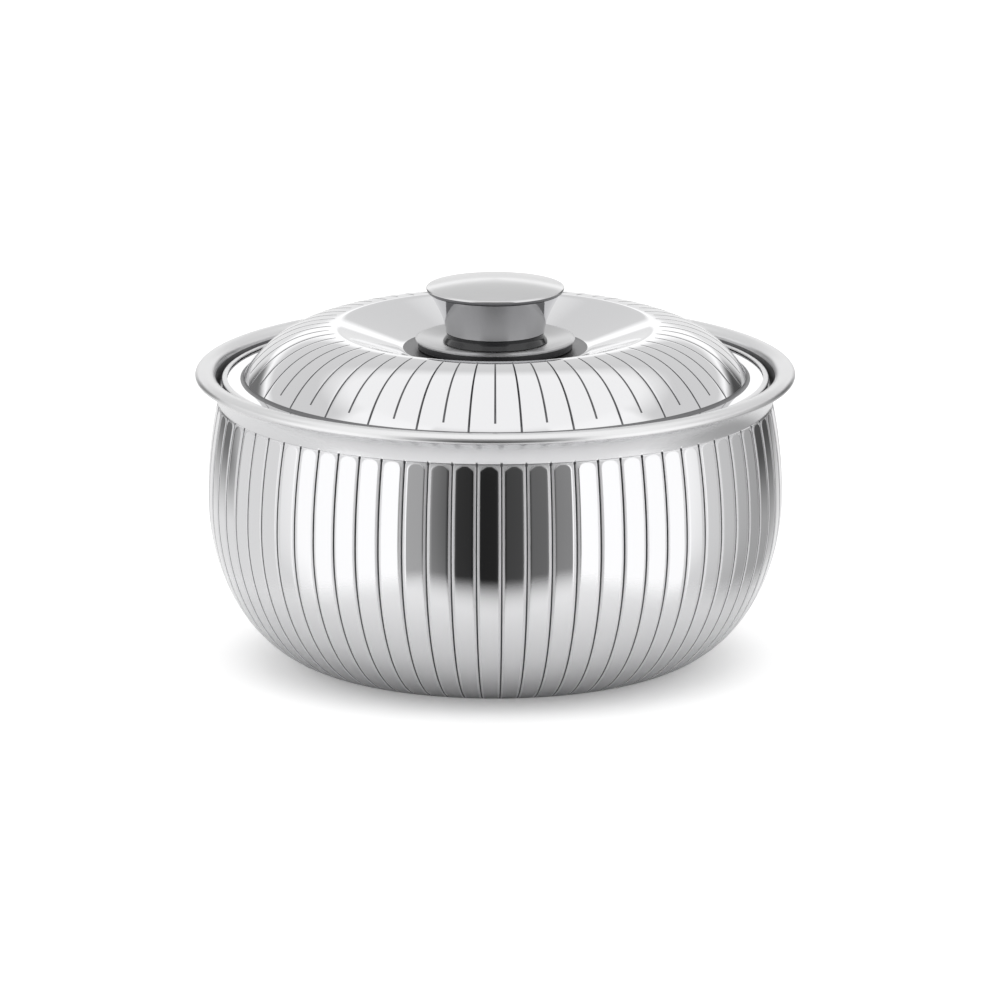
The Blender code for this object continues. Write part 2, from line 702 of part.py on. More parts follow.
def knob_neck_path():
    """Outer skin of the knob's neck, which widens towards its top like a trumpet."""
    points = []
    for index in range(NECK_STEPS + 1):
        share = 1 - index / NECK_STEPS
        widening = (NECK_TOP_RADIUS - NECK_FOOT_RADIUS) * share**KNOB_NECK_CURVE
        points.append((NECK_FOOT_RADIUS + widening, KNOB_FOOT + KNOB_NECK_HEIGHT * share))
    return points


def knob_neck_inside(depth):
    """The neck's skin moved inwards by a depth, with level ends."""
    inside = offset_path(knob_neck_path(), depth)
    inside[0] = (inside[0][0], KNOB_NECK_TOP)
    inside[-1] = (inside[-1][0], KNOB_FOOT)
    return inside


def make_knob_neck(finish, parent):
    """Polished steel sleeve of the knob."""
    outline = knob_neck_path() + knob_neck_inside(KNOB_NECK_SHEET)[::-1]
    turned("knob_neck", outline, KNOB_STEPS, finish, parent, KNOB_FOOT)


def make_knob_cap(finish, parent):
    """Domed steel cap, whose lip stands on the top of the neck."""
    centre = (0, CAP_RIM_HEIGHT)
    crown = arc(centre, (CAP_RADIUS, CAP_CROWN_RISE), 90, 0, CAP_STEPS)
    lip_inner = CAP_LIP_RADIUS - CAP_LIP_WIDTH
    hollow_rise = CAP_CROWN_RISE - CAP_SHEET
    hollow = arc(centre, (CAP_RADIUS - CAP_LIP_WIDTH, hollow_rise), 0, 90, CAP_STEPS)
    lip = [(CAP_LIP_RADIUS, CAP_LIP_HEIGHT), (lip_inner, CAP_LIP_HEIGHT)]
    turned("knob_cap", crown + lip + hollow, KNOB_STEPS, finish, parent, CAP_LIP_HEIGHT)


def make_knob_core(finish, parent):
    """Plastic moulding inside the neck and the cap, bored for the threaded insert."""
    side = knob_neck_inside(KNOB_NECK_SHEET + SEAT_GAP)
    head_rise = CAP_CROWN_RISE - CAP_SHEET - SEAT_GAP
    head = arc((0, CAP_RIM_HEIGHT), (side[0][0], head_rise), 90, 0, CORE_HEAD_STEPS)
    bore = around(INSERT_RADIUS + SEAT_GAP, HIDDEN_STEPS)
    bore_top = KNOB_FOOT + INSERT_LENGTH + SEAT_GAP
    outline = head + side + [(bore, KNOB_FOOT), (bore, bore_top), (0, bore_top)]
    turned("knob_core", outline, HIDDEN_STEPS, finish, parent, KNOB_FOOT)


def make_ring(name, inner, outer, bottom, top, steps, finish, parent):
    """Flat ring, such as a washer."""
    outline = [(inner, top), (outer, top), (outer, bottom), (inner, bottom)]
    return turned(name, outline, steps, finish, parent, bottom)


def make_knob_insert(finish, parent):
    """Brass insert with the knob's thread."""
    bore = around(SCREW_HOLE_RADIUS, SMALL_STEPS)
    top = KNOB_FOOT + INSERT_LENGTH
    make_ring("knob_insert", bore, INSERT_RADIUS, KNOB_FOOT, top, SMALL_STEPS, finish, parent)


def make_backing_washer(finish, parent):
    """Wide washer that spreads the pull of the screw under the well."""
    bottom = BACKING_TOP - BACKING_THICKNESS
    bore = around(SCREW_HOLE_RADIUS, HIDDEN_STEPS)
    name = "backing_washer"
    make_ring(name, bore, BACKING_RADIUS, bottom, BACKING_TOP, HIDDEN_STEPS, finish, parent)


def make_spring_washer(finish, parent):
    """Split washer that keeps the knob's screw from working loose."""
    bottom = SPRING_WASHER_TOP - SPRING_WASHER_THICKNESS
    bore = around(SCREW_HOLE_RADIUS, SMALL_STEPS)
    radius = SPRING_WASHER_RADIUS
    top = SPRING_WASHER_TOP
    name = "spring_washer"
    washer = make_ring(name, bore, radius, bottom, top, SMALL_STEPS, finish, parent)
    bpy.ops.mesh.primitive_cube_add(size=1)
    cutter = bpy.context.object
    cutter.name = "washer_split"
    cutter.scale = (radius * 2, SPRING_WASHER_SPLIT, SPRING_WASHER_THICKNESS * 2)
    cutter.location = (radius, 0, (bottom + top) / 2)
    for collection in cutter.users_collection:
        collection.objects.unlink(cutter)
    cutters.objects.link(cutter)
    cutter.hide_render = True
    cutter.display_type = "WIRE"
    split = washer.modifiers.new("split", "BOOLEAN")
    split.operation = "DIFFERENCE"
    split.object = cutter


def make_knob_screw(finish, parent):
    """Screw that holds the whole knob, with its head inside the lid."""
    shank_top = KNOB_FOOT + SCREW_ENGAGEMENT
    outline = [
        (0, shank_top),
        (SCREW_RADIUS, shank_top),
        (SCREW_RADIUS, SCREW_HEAD_TOP),
        (SCREW_HEAD_RADIUS, SCREW_HEAD_TOP),
        (SCREW_HEAD_RADIUS, SCREW_HEAD_BOTTOM),
        (0, SCREW_HEAD_BOTTOM),
    ]
    turned("knob_screw", outline, SMALL_STEPS, finish, parent, SCREW_HEAD_TOP)


def build_pot(pot):
    make_outer_shell(polished_steel, pot)
    make_inner_bowl(satin_steel, pot)
    make_pot_insulation(foam, pot)
    make_base_plate(satin_steel, pot)
    make_fill_plug(black_plastic, pot)


def build_lid(lid):
    make_lid_outer_shell(polished_steel, lid)
    make_lid_inner_shell(satin_steel, lid)
    make_lid_insulation(foam, lid)


def build_knob(lid):
    make_knob_spacer(black_plastic, lid)
    make_knob_disc(satin_steel, lid)
    make_knob_collar(black_plastic, lid)
    make_knob_neck(polished_steel, lid)
    make_knob_cap(satin_steel, lid)
    make_knob_core(black_plastic, lid)
    make_knob_insert(brass, lid)
    make_knob_screw(polished_steel, lid)
    make_spring_washer(polished_steel, lid)
    make_backing_washer(polished_steel, lid)


for item in list(bpy.data.objects):
    bpy.data.objects.remove(item, do_unlink=True)

casserole = bpy.data.collections.new("insulated_casserole")
cutters = bpy.data.collections.new("cutters")
bpy.context.scene.collection.children.link(casserole)
bpy.context.scene.collection.children.link(cutters)

polished_steel = make_finish("polished_steel", (0.80, 0.80, 0.81), 0.10, 1)
satin_steel = make_finish("satin_steel", (0.74, 0.74, 0.75), 0.32, 1)
black_plastic = make_finish("black_plastic", (0.02, 0.02, 0.022), 0.35, 0)
white_silicone = make_finish("white_silicone", (0.82, 0.82, 0.80), 0.55, 0)
brass = make_finish("brass", (0.80, 0.60, 0.25), 0.30, 1)
foam = make_finish("foam", (0.88, 0.80, 0.55), 0.90, 0)

pot_axis = make_axis("pot_axis", 0)
seal_axis = make_axis("seal_axis", SEAL_HEIGHT, pot_axis)
lid_axis = make_axis("lid_axis", LID_INNER_HEIGHT, seal_axis)

build_pot(pot_axis)
make_lid_seal(white_silicone, seal_axis)
build_lid(lid_axis)
build_knob(lid_axis)
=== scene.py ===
import math

import bpy
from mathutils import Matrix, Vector


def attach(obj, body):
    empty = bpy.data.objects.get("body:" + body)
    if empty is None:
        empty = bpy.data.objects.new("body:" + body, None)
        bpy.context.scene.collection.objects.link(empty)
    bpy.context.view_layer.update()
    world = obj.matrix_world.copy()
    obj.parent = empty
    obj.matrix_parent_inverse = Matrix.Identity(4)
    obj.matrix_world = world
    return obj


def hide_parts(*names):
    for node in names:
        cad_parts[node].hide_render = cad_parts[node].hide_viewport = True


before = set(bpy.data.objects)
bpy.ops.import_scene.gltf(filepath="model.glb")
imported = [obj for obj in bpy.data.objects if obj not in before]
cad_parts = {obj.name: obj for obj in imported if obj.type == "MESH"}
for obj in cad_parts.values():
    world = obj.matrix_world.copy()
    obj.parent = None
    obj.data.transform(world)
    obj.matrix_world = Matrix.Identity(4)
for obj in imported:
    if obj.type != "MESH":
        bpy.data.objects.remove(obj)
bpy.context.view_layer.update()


# Outer shell of the pot: stainless sheet spun to a belly, with narrow rolled grooves between
# slightly flattened panels. It is mirror-polished, and its flange lies in the fold of the rim.
SHELL_SHEET = 0.0008
FLANGE_RADIUS = 0.1282
FLANGE_HEIGHT = 0.1252
FLARE_BEND = (0.1229, 0.1204)
NECK_RADIUS = 0.1202
NECK_HEIGHT = 0.1138
PANEL_TOP = 0.1131
PANEL_RISE = 0.00015
PANEL_CORNER = 0.0029
PANEL_EASE = 0.0005
PANEL_FLATNESS = 0.75
BELLY_RADIUS = 0.1246
BELLY_HEIGHT = 0.0730
BELLY_SWELL = 0.0044
SHOULDER_HEIGHT = 0.0415
BASE_RADIUS = 0.0720
FOOT_RING_RADIUS = 0.0765
FOOT_HEM_ROUND = 0.0012
FOOT_HEM_HEIGHT = 0.0042
BELLY_FLUTES = 72
BELLY_GROOVE_DEPTH = 0.0003
BELLY_CURL_DEPTH = 0.00035
BELLY_CURL_WIDTH = 0.0020
BAND_HALF_WIDTH = 0.0014
BAND_EASE = 0.0002
BELLY_GROOVE_TOP = 0.1140
BELLY_GROOVE_END = (0.0015, 0.0110)
BELLY_PHASE_SHARE = 0.26
LINE_HALF_WIDTH = 0.00038
DOT_HALF_WIDTH = 0.0006
DOT_LENGTH = 0.0010
FLUTE_PLACES = (DOT_HALF_WIDTH, 0.0009, 0.0012, 0.0016, 0.0020, 0.0026, 0.0034, 0.0043)
BAND_ROUGHNESS = 0.50
NECK_SATIN_SHARE = 0.3
ACROSS_THE_MARKS = 0.25
STEEL_COLOUR = (0.72, 0.72, 0.73, 1)
# Painted shade: the next colour darkens the bottoms of the grooves into dark lines.
GROOVE_SHADE_COLOUR = (0.13, 0.13, 0.135, 1)
# Painted shade: the next colour is a dark steel for the gap inside the rim, the foot of the lid's
# dome, the well under the disc and the underside of the cap's edge.
PAINTED_SHADE_COLOUR = (0.18, 0.18, 0.185, 1)
POLISH_MARKS = (0.055, 900, 0.000004, 0.015)
GROOVE_MARKS = (0.42, 900, 0.000004, 0.06)
PAINTED_SHADE_MARKS = (0.38, 900, 0.00001, 0.05)
RING_SQUEEZE_SHARE = 0.02
RING_DETAIL = 3
RING_STRENGTH = 0.35
SMEAR_SCALE = 24
SMEAR_DETAIL = 4
NOISE_SPREAD = (0.3, 0.7)
POLE_RADIUS = 0.000001
SHARP_ANGLE = 40
EDGE_ANGLES = (45, 90, 135)
BEND_STEPS = 6
FLARE_STEPS = 12
UPPER_BELLY_ROWS = 34
LOWER_BELLY_STEPS = 34
LOWEST_BELLY_ANGLE = -83
FOOT_RING_EASE = 0.0005
BELLY_LINE_FOOT = 0.0030
LINING_STEP = 4


def eased(corners, steps=BEND_STEPS):
    """Outline whose corners (radius, height, ease) are rounded off over a length on both sides."""
    points = []
    last = len(corners) - 1
    for index, (radius, height, ease) in enumerate(corners):
        here = Vector((radius, height))
        if index in (0, last) or not ease:
            points.append((radius, height))
            continue
        start = here + (Vector(corners[index - 1][:2]) - here).normalized() * ease
        end = here + (Vector(corners[index + 1][:2]) - here).normalized() * ease
        points += curve(start, here, end, steps)
    return points


def curve(start, pull, end, steps):
    """Points of a curve between two ends, drawn towards a third point."""
    points = []
    for step in range(steps + 1):
        share = step / steps
        first = Vector(start).lerp(Vector(pull), share)
        second = Vector(pull).lerp(Vector(end), share)
        points.append(tuple(first.lerp(second, share)))
    return points


def arc(centre, radii, start, end, steps):
    """Points of an ellipse arc in (radius, height), with angles in degrees from outwards."""
    points = []
    for step in range(steps + 1):
        angle = math.radians(start + (end - start) * step / steps)
        radius = centre[0] + radii[0] * math.cos(angle)
        points.append((radius, centre[1] + radii[1] * math.sin(angle)))
    return points


def outward(outline):
    """Directions out of the metal at the points of an outline that runs down its outer side."""
    normals = []
    for index in range(len(outline)):
        before = Vector(outline[max(index - 1, 0)])
        after = Vector(outline[min(index + 1, len(outline) - 1)])
        run = (after - before).normalized()
        normals.append((-run.y, run.x))
    return normals


def sheet(path, thickness):
    """Closed outline of sheet metal whose skin is the path, with round edges at its ends."""
    skin = [Vector(point) for point in path]
    normals = [Vector(normal) for normal in outward(path)]
    inside = [point - normal * thickness for point, normal in zip(skin, normals)]
    outline = [tuple(point) for point in skin]
    if path[-1][0] > 0:
        outline += sheet_edge(skin[-1], inside[-1])
    outline += [(max(point.x, 0), point.y) for point in inside[::-1]]
    if path[0][0] > 0:
        outline += sheet_edge(inside[0], skin[0])
    return outline


def sheet_edge(start, end):
    """Half round over the edge of a sheet, from one of its faces to the other."""
    middle = (start + end) / 2
    side = start - middle
    front = Vector((-side.y, side.x))
    points = []
    for degrees in EDGE_ANGLES:
        angle = math.radians(degrees)
        point = middle + side * math.cos(angle) + front * math.sin(angle)
        points.append(tuple(point))
    return points


def lathe(name, outline, angles, dents=None):
    """Mesh turned from an outline; dents gives each row's inward offsets, one for each angle."""
    normals = outward(outline)
    verts = []
    rows = []
    for index, (radius, height) in enumerate(outline):
        if radius < POLE_RADIUS:
            rows.append([len(verts)] * len(angles))
            verts.append((0, 0, height))
            continue
        row = []
        for place, angle in enumerate(angles):
            dent = dents[index][place] if dents else 0
            reach = radius - normals[index][0] * dent
            row.append(len(verts))
            level = height - normals[index][1] * dent
            verts.append((reach * math.cos(angle), reach * math.sin(angle), level))
        rows.append(row)
    faces = []
    joined = rows[1:] + rows[:1] if outline[0][0] > 0 else rows[1:]
    for upper, lower in zip(rows, joined):
        for place in range(len(angles)):
            beside = (place + 1) % len(angles)
            corners = [upper[place], lower[place], lower[beside], upper[beside]]
            faces.append(list(dict.fromkeys(corners)))
    mesh = bpy.data.meshes.new(name)
    mesh.from_pydata(verts, [], faces)
    mesh.shade_smooth()
    mesh.set_sharp_from_angle(angle=math.radians(SHARP_ANGLE))
    piece = bpy.data.objects.new(name, mesh)
    bpy.context.scene.collection.objects.link(piece)
    return piece


def round_angles(count):
    return [math.tau * index / count for index in range(count)]


def flute_angles(flutes, radius, offset, line):
    """Angles that crowd at the grooves, and each one's distance from the nearest groove."""
    angles = []
    gaps = []
    half = math.pi * radius / flutes
    beside = [line] + [place for place in FLUTE_PLACES if place > line]
    places = [-place for place in beside[::-1]] + [0] + beside + [half]
    for index in range(flutes):
        for place in places:
            angles.append(math.tau * (index + offset) / flutes + place / radius)
            gaps.append(abs(place))
    return angles, gaps


def smooth_share(value, low, high):
    """Share of the way from low to high, eased at both ends."""
    share = min(max((value - low) / (high - low), 0), 1)
    return share * share * (3 - 2 * share)


def noise_node(nodes, links, scale, detail, vector):
    noise = nodes.new("ShaderNodeTexNoise")
    noise.inputs["Scale"].default_value = scale
    noise.inputs["Detail"].default_value = detail
    links.new(vector, noise.inputs["Vector"])
    return noise.outputs["Fac"]


def ranged(nodes, links, value, low, high):
    """Turns a value within the usual spread of noise into one from low to high."""
    spread = nodes.new("ShaderNodeMapRange")
    spread.inputs["From Min"].default_value = NOISE_SPREAD[0]
    spread.inputs["From Max"].default_value = NOISE_SPREAD[1]
    spread.inputs["To Min"].default_value = low
    spread.inputs["To Max"].default_value = high
    links.new(value, spread.inputs["Value"])
    return spread.outputs["Result"]


def turning_marks(nodes, links, squeeze):
    """Coordinates in which noise turns into fine rings round the axis."""
    place = nodes.new("ShaderNodeTexCoord")
    split = nodes.new("ShaderNodeSeparateXYZ")
    links.new(place.outputs["Object"], split.inputs["Vector"])
    flat = nodes.new("ShaderNodeCombineXYZ")
    links.new(split.outputs["X"], flat.inputs["X"])
    links.new(split.outputs["Y"], flat.inputs["Y"])
    reach = nodes.new("ShaderNodeVectorMath")
    reach.operation = "LENGTH"
    links.new(flat.outputs["Vector"], reach.inputs[0])
    ring = nodes.new("ShaderNodeCombineXYZ")
    links.new(reach.outputs["Value"], ring.inputs["X"])
    links.new(split.outputs["Z"], ring.inputs["Z"])
    stretched = nodes.new("ShaderNodeVectorMath")
    stretched.operation = "SCALE"
    stretched.inputs["Scale"].default_value = squeeze
    links.new(place.outputs["Object"], stretched.inputs[0])
    both = nodes.new("ShaderNodeVectorMath")
    both.operation = "ADD"
    links.new(ring.outputs["Vector"], both.inputs[0])
    links.new(stretched.outputs["Vector"], both.inputs[1])
    return place.outputs["Object"], both.outputs["Vector"]


def steel(name, colour, marks, satin_bands=False, turned=0):
    """Turned steel; its marks are its roughness, its rings' scale and depth, and its smears."""
    roughness, ring_scale, ring_depth, smear = marks
    finish = bpy.data.materials.new(name)
    finish.use_nodes = True
    nodes = finish.node_tree.nodes
    links = finish.node_tree.links
    shader = nodes["Principled BSDF"]
    shader.inputs["Metallic"].default_value = 1
    shader.inputs["Base Color"].default_value = colour
    if turned:
        shader.inputs["Anisotropic"].default_value = turned
        shader.inputs["Anisotropic Rotation"].default_value = ACROSS_THE_MARKS
        lathe_marks = nodes.new("ShaderNodeTangent")
        lathe_marks.direction_type = "RADIAL"
        lathe_marks.axis = "Z"
        links.new(lathe_marks.outputs["Tangent"], shader.inputs["Tangent"])
    place, rings = turning_marks(nodes, links, RING_SQUEEZE_SHARE)
    lines = noise_node(nodes, links, ring_scale, RING_DETAIL, rings)
    smears = noise_node(nodes, links, SMEAR_SCALE, SMEAR_DETAIL, place)
    sheen = ranged(nodes, links, smears, roughness - smear, roughness + smear)
    if satin_bands:
        sheen = satin_between_panels(nodes, links, sheen)
    links.new(sheen, shader.inputs["Roughness"])
    grain = nodes.new("ShaderNodeBump")
    grain.inputs["Strength"].default_value = RING_STRENGTH
    grain.inputs["Distance"].default_value = ring_depth
    links.new(lines, grain.inputs["Height"])
    links.new(grain.outputs["Normal"], shader.inputs["Normal"])
    return finish


def satin_between_panels(nodes, links, sheen):
    """Roughness that rises where the mesh says that the sheet was left satin."""
    share = nodes.new("ShaderNodeAttribute")
    share.attribute_name = "satin_share"
    band = nodes.new("ShaderNodeMath")
    band.operation = "MULTIPLY_ADD"
    band.inputs[1].default_value = BAND_ROUGHNESS
    links.new(share.outputs["Fac"], band.inputs[0])
    links.new(sheen, band.inputs[2])
    return band.outputs["Value"]


polished_steel = steel("polished_steel", STEEL_COLOUR, POLISH_MARKS)
belly_steel = steel("belly_steel", STEEL_COLOUR, POLISH_MARKS, satin_bands=True)
# Painted shade: a dark steel for the bottoms of the grooves.
groove_shade_steel = steel("groove_shade_steel", GROOVE_SHADE_COLOUR, GROOVE_MARKS)
# Painted shade: a dark steel for shaded gaps and undersides.
painted_shade_steel = steel("painted_shade_steel", PAINTED_SHADE_COLOUR, PAINTED_SHADE_MARKS)


def belly_outline():
    """Skin of the shell from its flange down to the hem inside its foot, row by row."""
    flange = (FLANGE_RADIUS, FLANGE_HEIGHT)
    flare = curve(flange, FLARE_BEND, (NECK_RADIUS, NECK_HEIGHT), FLARE_STEPS)
    upper = []
    for row in range(UPPER_BELLY_ROWS):
        share = (row / UPPER_BELLY_ROWS) ** 2
        level = PANEL_TOP + PANEL_EASE - (PANEL_TOP + PANEL_EASE - BELLY_HEIGHT) * share
        rise = (level - BELLY_HEIGHT) / SHOULDER_HEIGHT
        upper.append((BELLY_RADIUS - BELLY_SWELL * rise * rise, level))
    radii = (BELLY_RADIUS - BASE_RADIUS, BELLY_HEIGHT)
    lower = arc((BASE_RADIUS, BELLY_HEIGHT), radii, 0, LOWEST_BELLY_ANGLE, LOWER_BELLY_STEPS)
    hem_radius = BASE_RADIUS - FOOT_HEM_ROUND
    foot = eased([
        (*lower[-1], 0),
        (FOOT_RING_RADIUS, 0, FOOT_RING_EASE),
        (hem_radius, 0, FOOT_HEM_ROUND),
        (hem_radius, FOOT_HEM_HEIGHT, 0),
    ])
    return flare + upper + lower + foot[1:]


def outside_panel(level, gap):
    """Distance outside a polished panel, whose upper corners are round; below 0 within it."""
    inward = PANEL_CORNER + BAND_HALF_WIDTH - gap
    upward = PANEL_CORNER + level - PANEL_TOP
    corner = math.hypot(max(inward, 0), max(upward, 0))
    return corner + min(max(inward, upward), 0) - PANEL_CORNER


def belly_dents(outline, gaps):
    """Inward offsets of the belly's grooves, rounded panel ends and flattened panels."""
    half = math.pi / BELLY_FLUTES
    dents = []
    for radius, level in outline:
        low_end = smooth_share(level, *BELLY_GROOVE_END)
        if radius < FOOT_RING_RADIUS:
            low_end = 0
        top_end = 1 - smooth_share(level, BELLY_GROOVE_TOP - PANEL_EASE, BELLY_GROOVE_TOP)
        row = []
        for gap in gaps:
            line = max(1 - gap / LINE_HALF_WIDTH, 0) * BELLY_GROOVE_DEPTH
            curl = max(1 - gap / BELLY_CURL_WIDTH, 0) ** 2 * BELLY_CURL_DEPTH
            groove = line + curl
            panel_end = smooth_share(outside_panel(level, gap), -PANEL_EASE, PANEL_EASE)
            across = (half * radius - gap) / radius
            flat = radius * (1 - math.cos(half) / math.cos(min(across, half)))
            dent = (groove + flat * PANEL_FLATNESS) * low_end * top_end
            if level > BELLY_HEIGHT:
                dent = max(dent, PANEL_RISE * panel_end)
            row.append(dent)
        dents.append(row)
    return dents


def paint_groove_shade(piece, gaps, outline, line_width, finish):
    """Paints shade into the bottoms of the grooves with a darker steel, as wide as the row says.
    """
    piece.data.materials.append(finish)
    slots = []
    columns = len(gaps)
    for index in range(len(piece.data.polygons)):
        row, place = divmod(index, columns)
        widest = max(gaps[place], gaps[(place + 1) % columns])
        dark = row < len(outline) - 1 and widest <= line_width(row, place)
        slots.append(1 if dark else 0)
    piece.data.polygons.foreach_set("material_index", slots)


def belly_line_width(row, place):
    """Half width of the painted shade line in a row of the belly: it starts at the top with a dot.
    """
    level = skin[row][1]
    if level > BELLY_GROOVE_TOP or level < BELLY_LINE_FOOT:
        return 0
    return DOT_HALF_WIDTH if level > BELLY_GROOVE_TOP - DOT_LENGTH else LINE_HALF_WIDTH


skin = belly_outline()
angles, gaps = flute_angles(BELLY_FLUTES, BELLY_RADIUS, BELLY_PHASE_SHARE, LINE_HALF_WIDTH)
dents = belly_dents(skin, gaps)
lining = [(point[0] - normal[0] * SHELL_SHEET, point[1] - normal[1] * SHELL_SHEET)
          for point, normal in list(zip(skin, outward(skin)))[::-LINING_STEP]]
lining_dents = [[0] * len(angles) for point in lining]
belly = lathe("belly_shell", skin + lining, angles, dents + lining_dents)
belly.data.materials.append(belly_steel)
satin = belly.data.attributes.new("satin_share", "FLOAT", "POINT")
for index, (radius, level) in enumerate(skin):
    below_top = 1 - smooth_share(level, PANEL_TOP, PANEL_TOP + PANEL_EASE)
    for place, gap in enumerate(gaps):
        outside = smooth_share(outside_panel(level, gap), -BAND_EASE, BAND_EASE)
        band = NECK_SATIN_SHARE + (1 - NECK_SATIN_SHARE) * below_top
        satin.data[index * len(gaps) + place].value = outside * band
paint_groove_shade(belly, gaps, skin, belly_line_width, groove_shade_steel)
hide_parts("outer_shell")
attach(belly, "pot")


# Inner bowl: drawn from one satin-brushed disc of stainless steel, with a flat ledge that the
# lid lies on. Its rim is rolled outwards and folded under the flange of the outer shell.
BOWL_SHEET = 0.0006
BOWL_RADIUS = 0.1080
BOWL_FLOOR_HEIGHT = 0.0140
BOWL_CORNER_RADIUS = 0.0370
LEDGE_HEIGHT = 0.1205
LEDGE_RADIUS = 0.1196
LEDGE_LIP_EASE = 0.0016
LEDGE_EASE = 0.0010
RIM_MOUTH = (0.1212, 0.1248)
RIM_CROWN = (0.1260, 0.1286)
RIM_RADIUS = 0.1300
RIM_HEIGHT = 0.1258
RIM_FOLD_HEIGHT = 0.1243
RIM_FOLD_RADIUS = 0.1282
RIM_COLUMNS = 192
RIM_GAP_SHADE_BAND = (0.1170, 0.1211)
SATIN_COLOUR = (0.72, 0.72, 0.725, 1)
SATIN_MARKS = (0.30, 2600, 0.00002, 0.03)
BOWL_CORNER_STEPS = 20
RIM_STEPS = 12

satin_steel = steel("satin_steel", SATIN_COLOUR, SATIN_MARKS)


def bowl_outline():
    """Skin of the bowl from the middle of its floor out over the rim to the edge of its fold."""
    floor = (BOWL_RADIUS - BOWL_CORNER_RADIUS, BOWL_FLOOR_HEIGHT + BOWL_CORNER_RADIUS)
    corner = arc(floor, (BOWL_CORNER_RADIUS, BOWL_CORNER_RADIUS), -90, 0, BOWL_CORNER_STEPS)
    ledge = eased([
        (*corner[-1], 0),
        (BOWL_RADIUS, LEDGE_HEIGHT, LEDGE_LIP_EASE),
        (LEDGE_RADIUS, LEDGE_HEIGHT, LEDGE_EASE),
        (*RIM_MOUTH, 0),
    ])
    mouth_size = (RIM_CROWN[0] - RIM_MOUTH[0], RIM_CROWN[1] - RIM_MOUTH[1])
    mouth = arc((RIM_CROWN[0], RIM_MOUTH[1]), mouth_size, 180, 90, RIM_STEPS)
    edge_size = (RIM_RADIUS - RIM_CROWN[0], RIM_CROWN[1] - RIM_HEIGHT)
    edge = arc((RIM_CROWN[0], RIM_HEIGHT), edge_size, 90, 0, RIM_STEPS)
    fold_drop = RIM_HEIGHT - RIM_FOLD_HEIGHT
    fold = arc((RIM_RADIUS - fold_drop, RIM_HEIGHT), (fold_drop, fold_drop), 0, -90, BEND_STEPS)
    tail = [(RIM_FOLD_RADIUS, RIM_FOLD_HEIGHT)]
    return [(0, BOWL_FLOOR_HEIGHT)] + corner + ledge[1:] + mouth[1:] + edge[1:] + fold[1:] + tail


rim_skin = bowl_outline()
bowl = lathe("bowl_with_rolled_rim", sheet(rim_skin, BOWL_SHEET), round_angles(RIM_COLUMNS))
bowl.data.materials.append(satin_steel)
# Painted shade: the ring of the outer ledge and the foot of the rim's mouth, in the gap round the
# lid's bead, gets the dark steel.
bowl.data.materials.append(painted_shade_steel)
for index, polygon in enumerate(bowl.data.polygons):
    radius = rim_skin[min(index // RIM_COLUMNS, len(rim_skin) - 1)][0]
    polygon.material_index = 1 if RIM_GAP_SHADE_BAND[0] < radius < RIM_GAP_SHADE_BAND[1] else 0
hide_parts("inner_bowl")
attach(bowl, "pot")


# Base plate: pressed satin steel with a raised panel, closed into the foot, and the plastic
# plug that stops the hole in its middle through which the foam was poured.
BASE_SHEET = 0.0008
BASE_PLATE_RADIUS = 0.0704
BASE_PLATE_HEIGHT = 0.0034
BASE_SKIRT_END = 0.0012
BASE_PANEL_RADIUS = 0.0520
BASE_PANEL_SLOPE = 0.0040
BASE_PANEL_HEIGHT = 0.0049
FILL_HOLE_RADIUS = 0.0050
PLUG_HEAD_RADIUS = 0.0080
PLUG_HEAD_TOP = 0.0038
PLUG_HEAD_BOTTOM = 0.0024
PLUG_STEM_RADIUS = 0.0046
PLUG_STEM_TOP = 0.0098
BASE_PANEL_EASE = 0.0015
BASE_PLATE_EASE = 0.0012
PLUG_STEM_EASE = 0.0008
PLUG_HEAD_TOP_EASE = 0.0003
PLUG_HEAD_EASE = 0.0006
PLATE_COLUMNS = 128
PLUG_COLUMNS = 48
PLASTIC_COLOUR = (0.018, 0.018, 0.02, 1)
PLASTIC_ROUGHNESS = 0.35
GLOSS_SHARES = (0.8, 1.2)
GLOSS_SCALE = 60
GLOSS_DETAIL = 3
GRAIN_SCALE = 2200
GRAIN_DETAIL = 2
GRAIN_STRENGTH = 0.25
GRAIN_DEPTH = 0.00003


def plastic_finish(name, colour, roughness):
    """Moulded plastic with a faint grain and uneven gloss."""
    finish = bpy.data.materials.new(name)
    finish.use_nodes = True
    nodes = finish.node_tree.nodes
    links = finish.node_tree.links
    shader = nodes["Principled BSDF"]
    shader.inputs["Base Color"].default_value = colour
    place = nodes.new("ShaderNodeTexCoord").outputs["Object"]
    gloss = noise_node(nodes, links, GLOSS_SCALE, GLOSS_DETAIL, place)
    low, high = [roughness * share for share in GLOSS_SHARES]
    links.new(ranged(nodes, links, gloss, low, high), shader.inputs["Roughness"])
    grain = noise_node(nodes, links, GRAIN_SCALE, GRAIN_DETAIL, place)
    bump = nodes.new("ShaderNodeBump")
    bump.inputs["Strength"].default_value = GRAIN_STRENGTH
    bump.inputs["Distance"].default_value = GRAIN_DEPTH
    links.new(grain, bump.inputs["Height"])
    links.new(bump.outputs["Normal"], shader.inputs["Normal"])
    return finish


black_plastic = plastic_finish("black_plastic", PLASTIC_COLOUR, PLASTIC_ROUGHNESS)
plate_skin = eased([
    (FILL_HOLE_RADIUS, BASE_PANEL_HEIGHT, 0),
    (BASE_PANEL_RADIUS, BASE_PANEL_HEIGHT, BASE_PANEL_EASE),
    (BASE_PANEL_RADIUS + BASE_PANEL_SLOPE, BASE_PLATE_HEIGHT, BASE_PANEL_EASE),
    (BASE_PLATE_RADIUS, BASE_PLATE_HEIGHT, BASE_PLATE_EASE),
    (BASE_PLATE_RADIUS, BASE_SKIRT_END, 0),
])
plate_outline = sheet(plate_skin, BASE_SHEET)
base_plate = lathe("pressed_base_plate", plate_outline, round_angles(PLATE_COLUMNS))
base_plate.data.materials.append(satin_steel)
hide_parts("base_plate")
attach(base_plate, "pot")

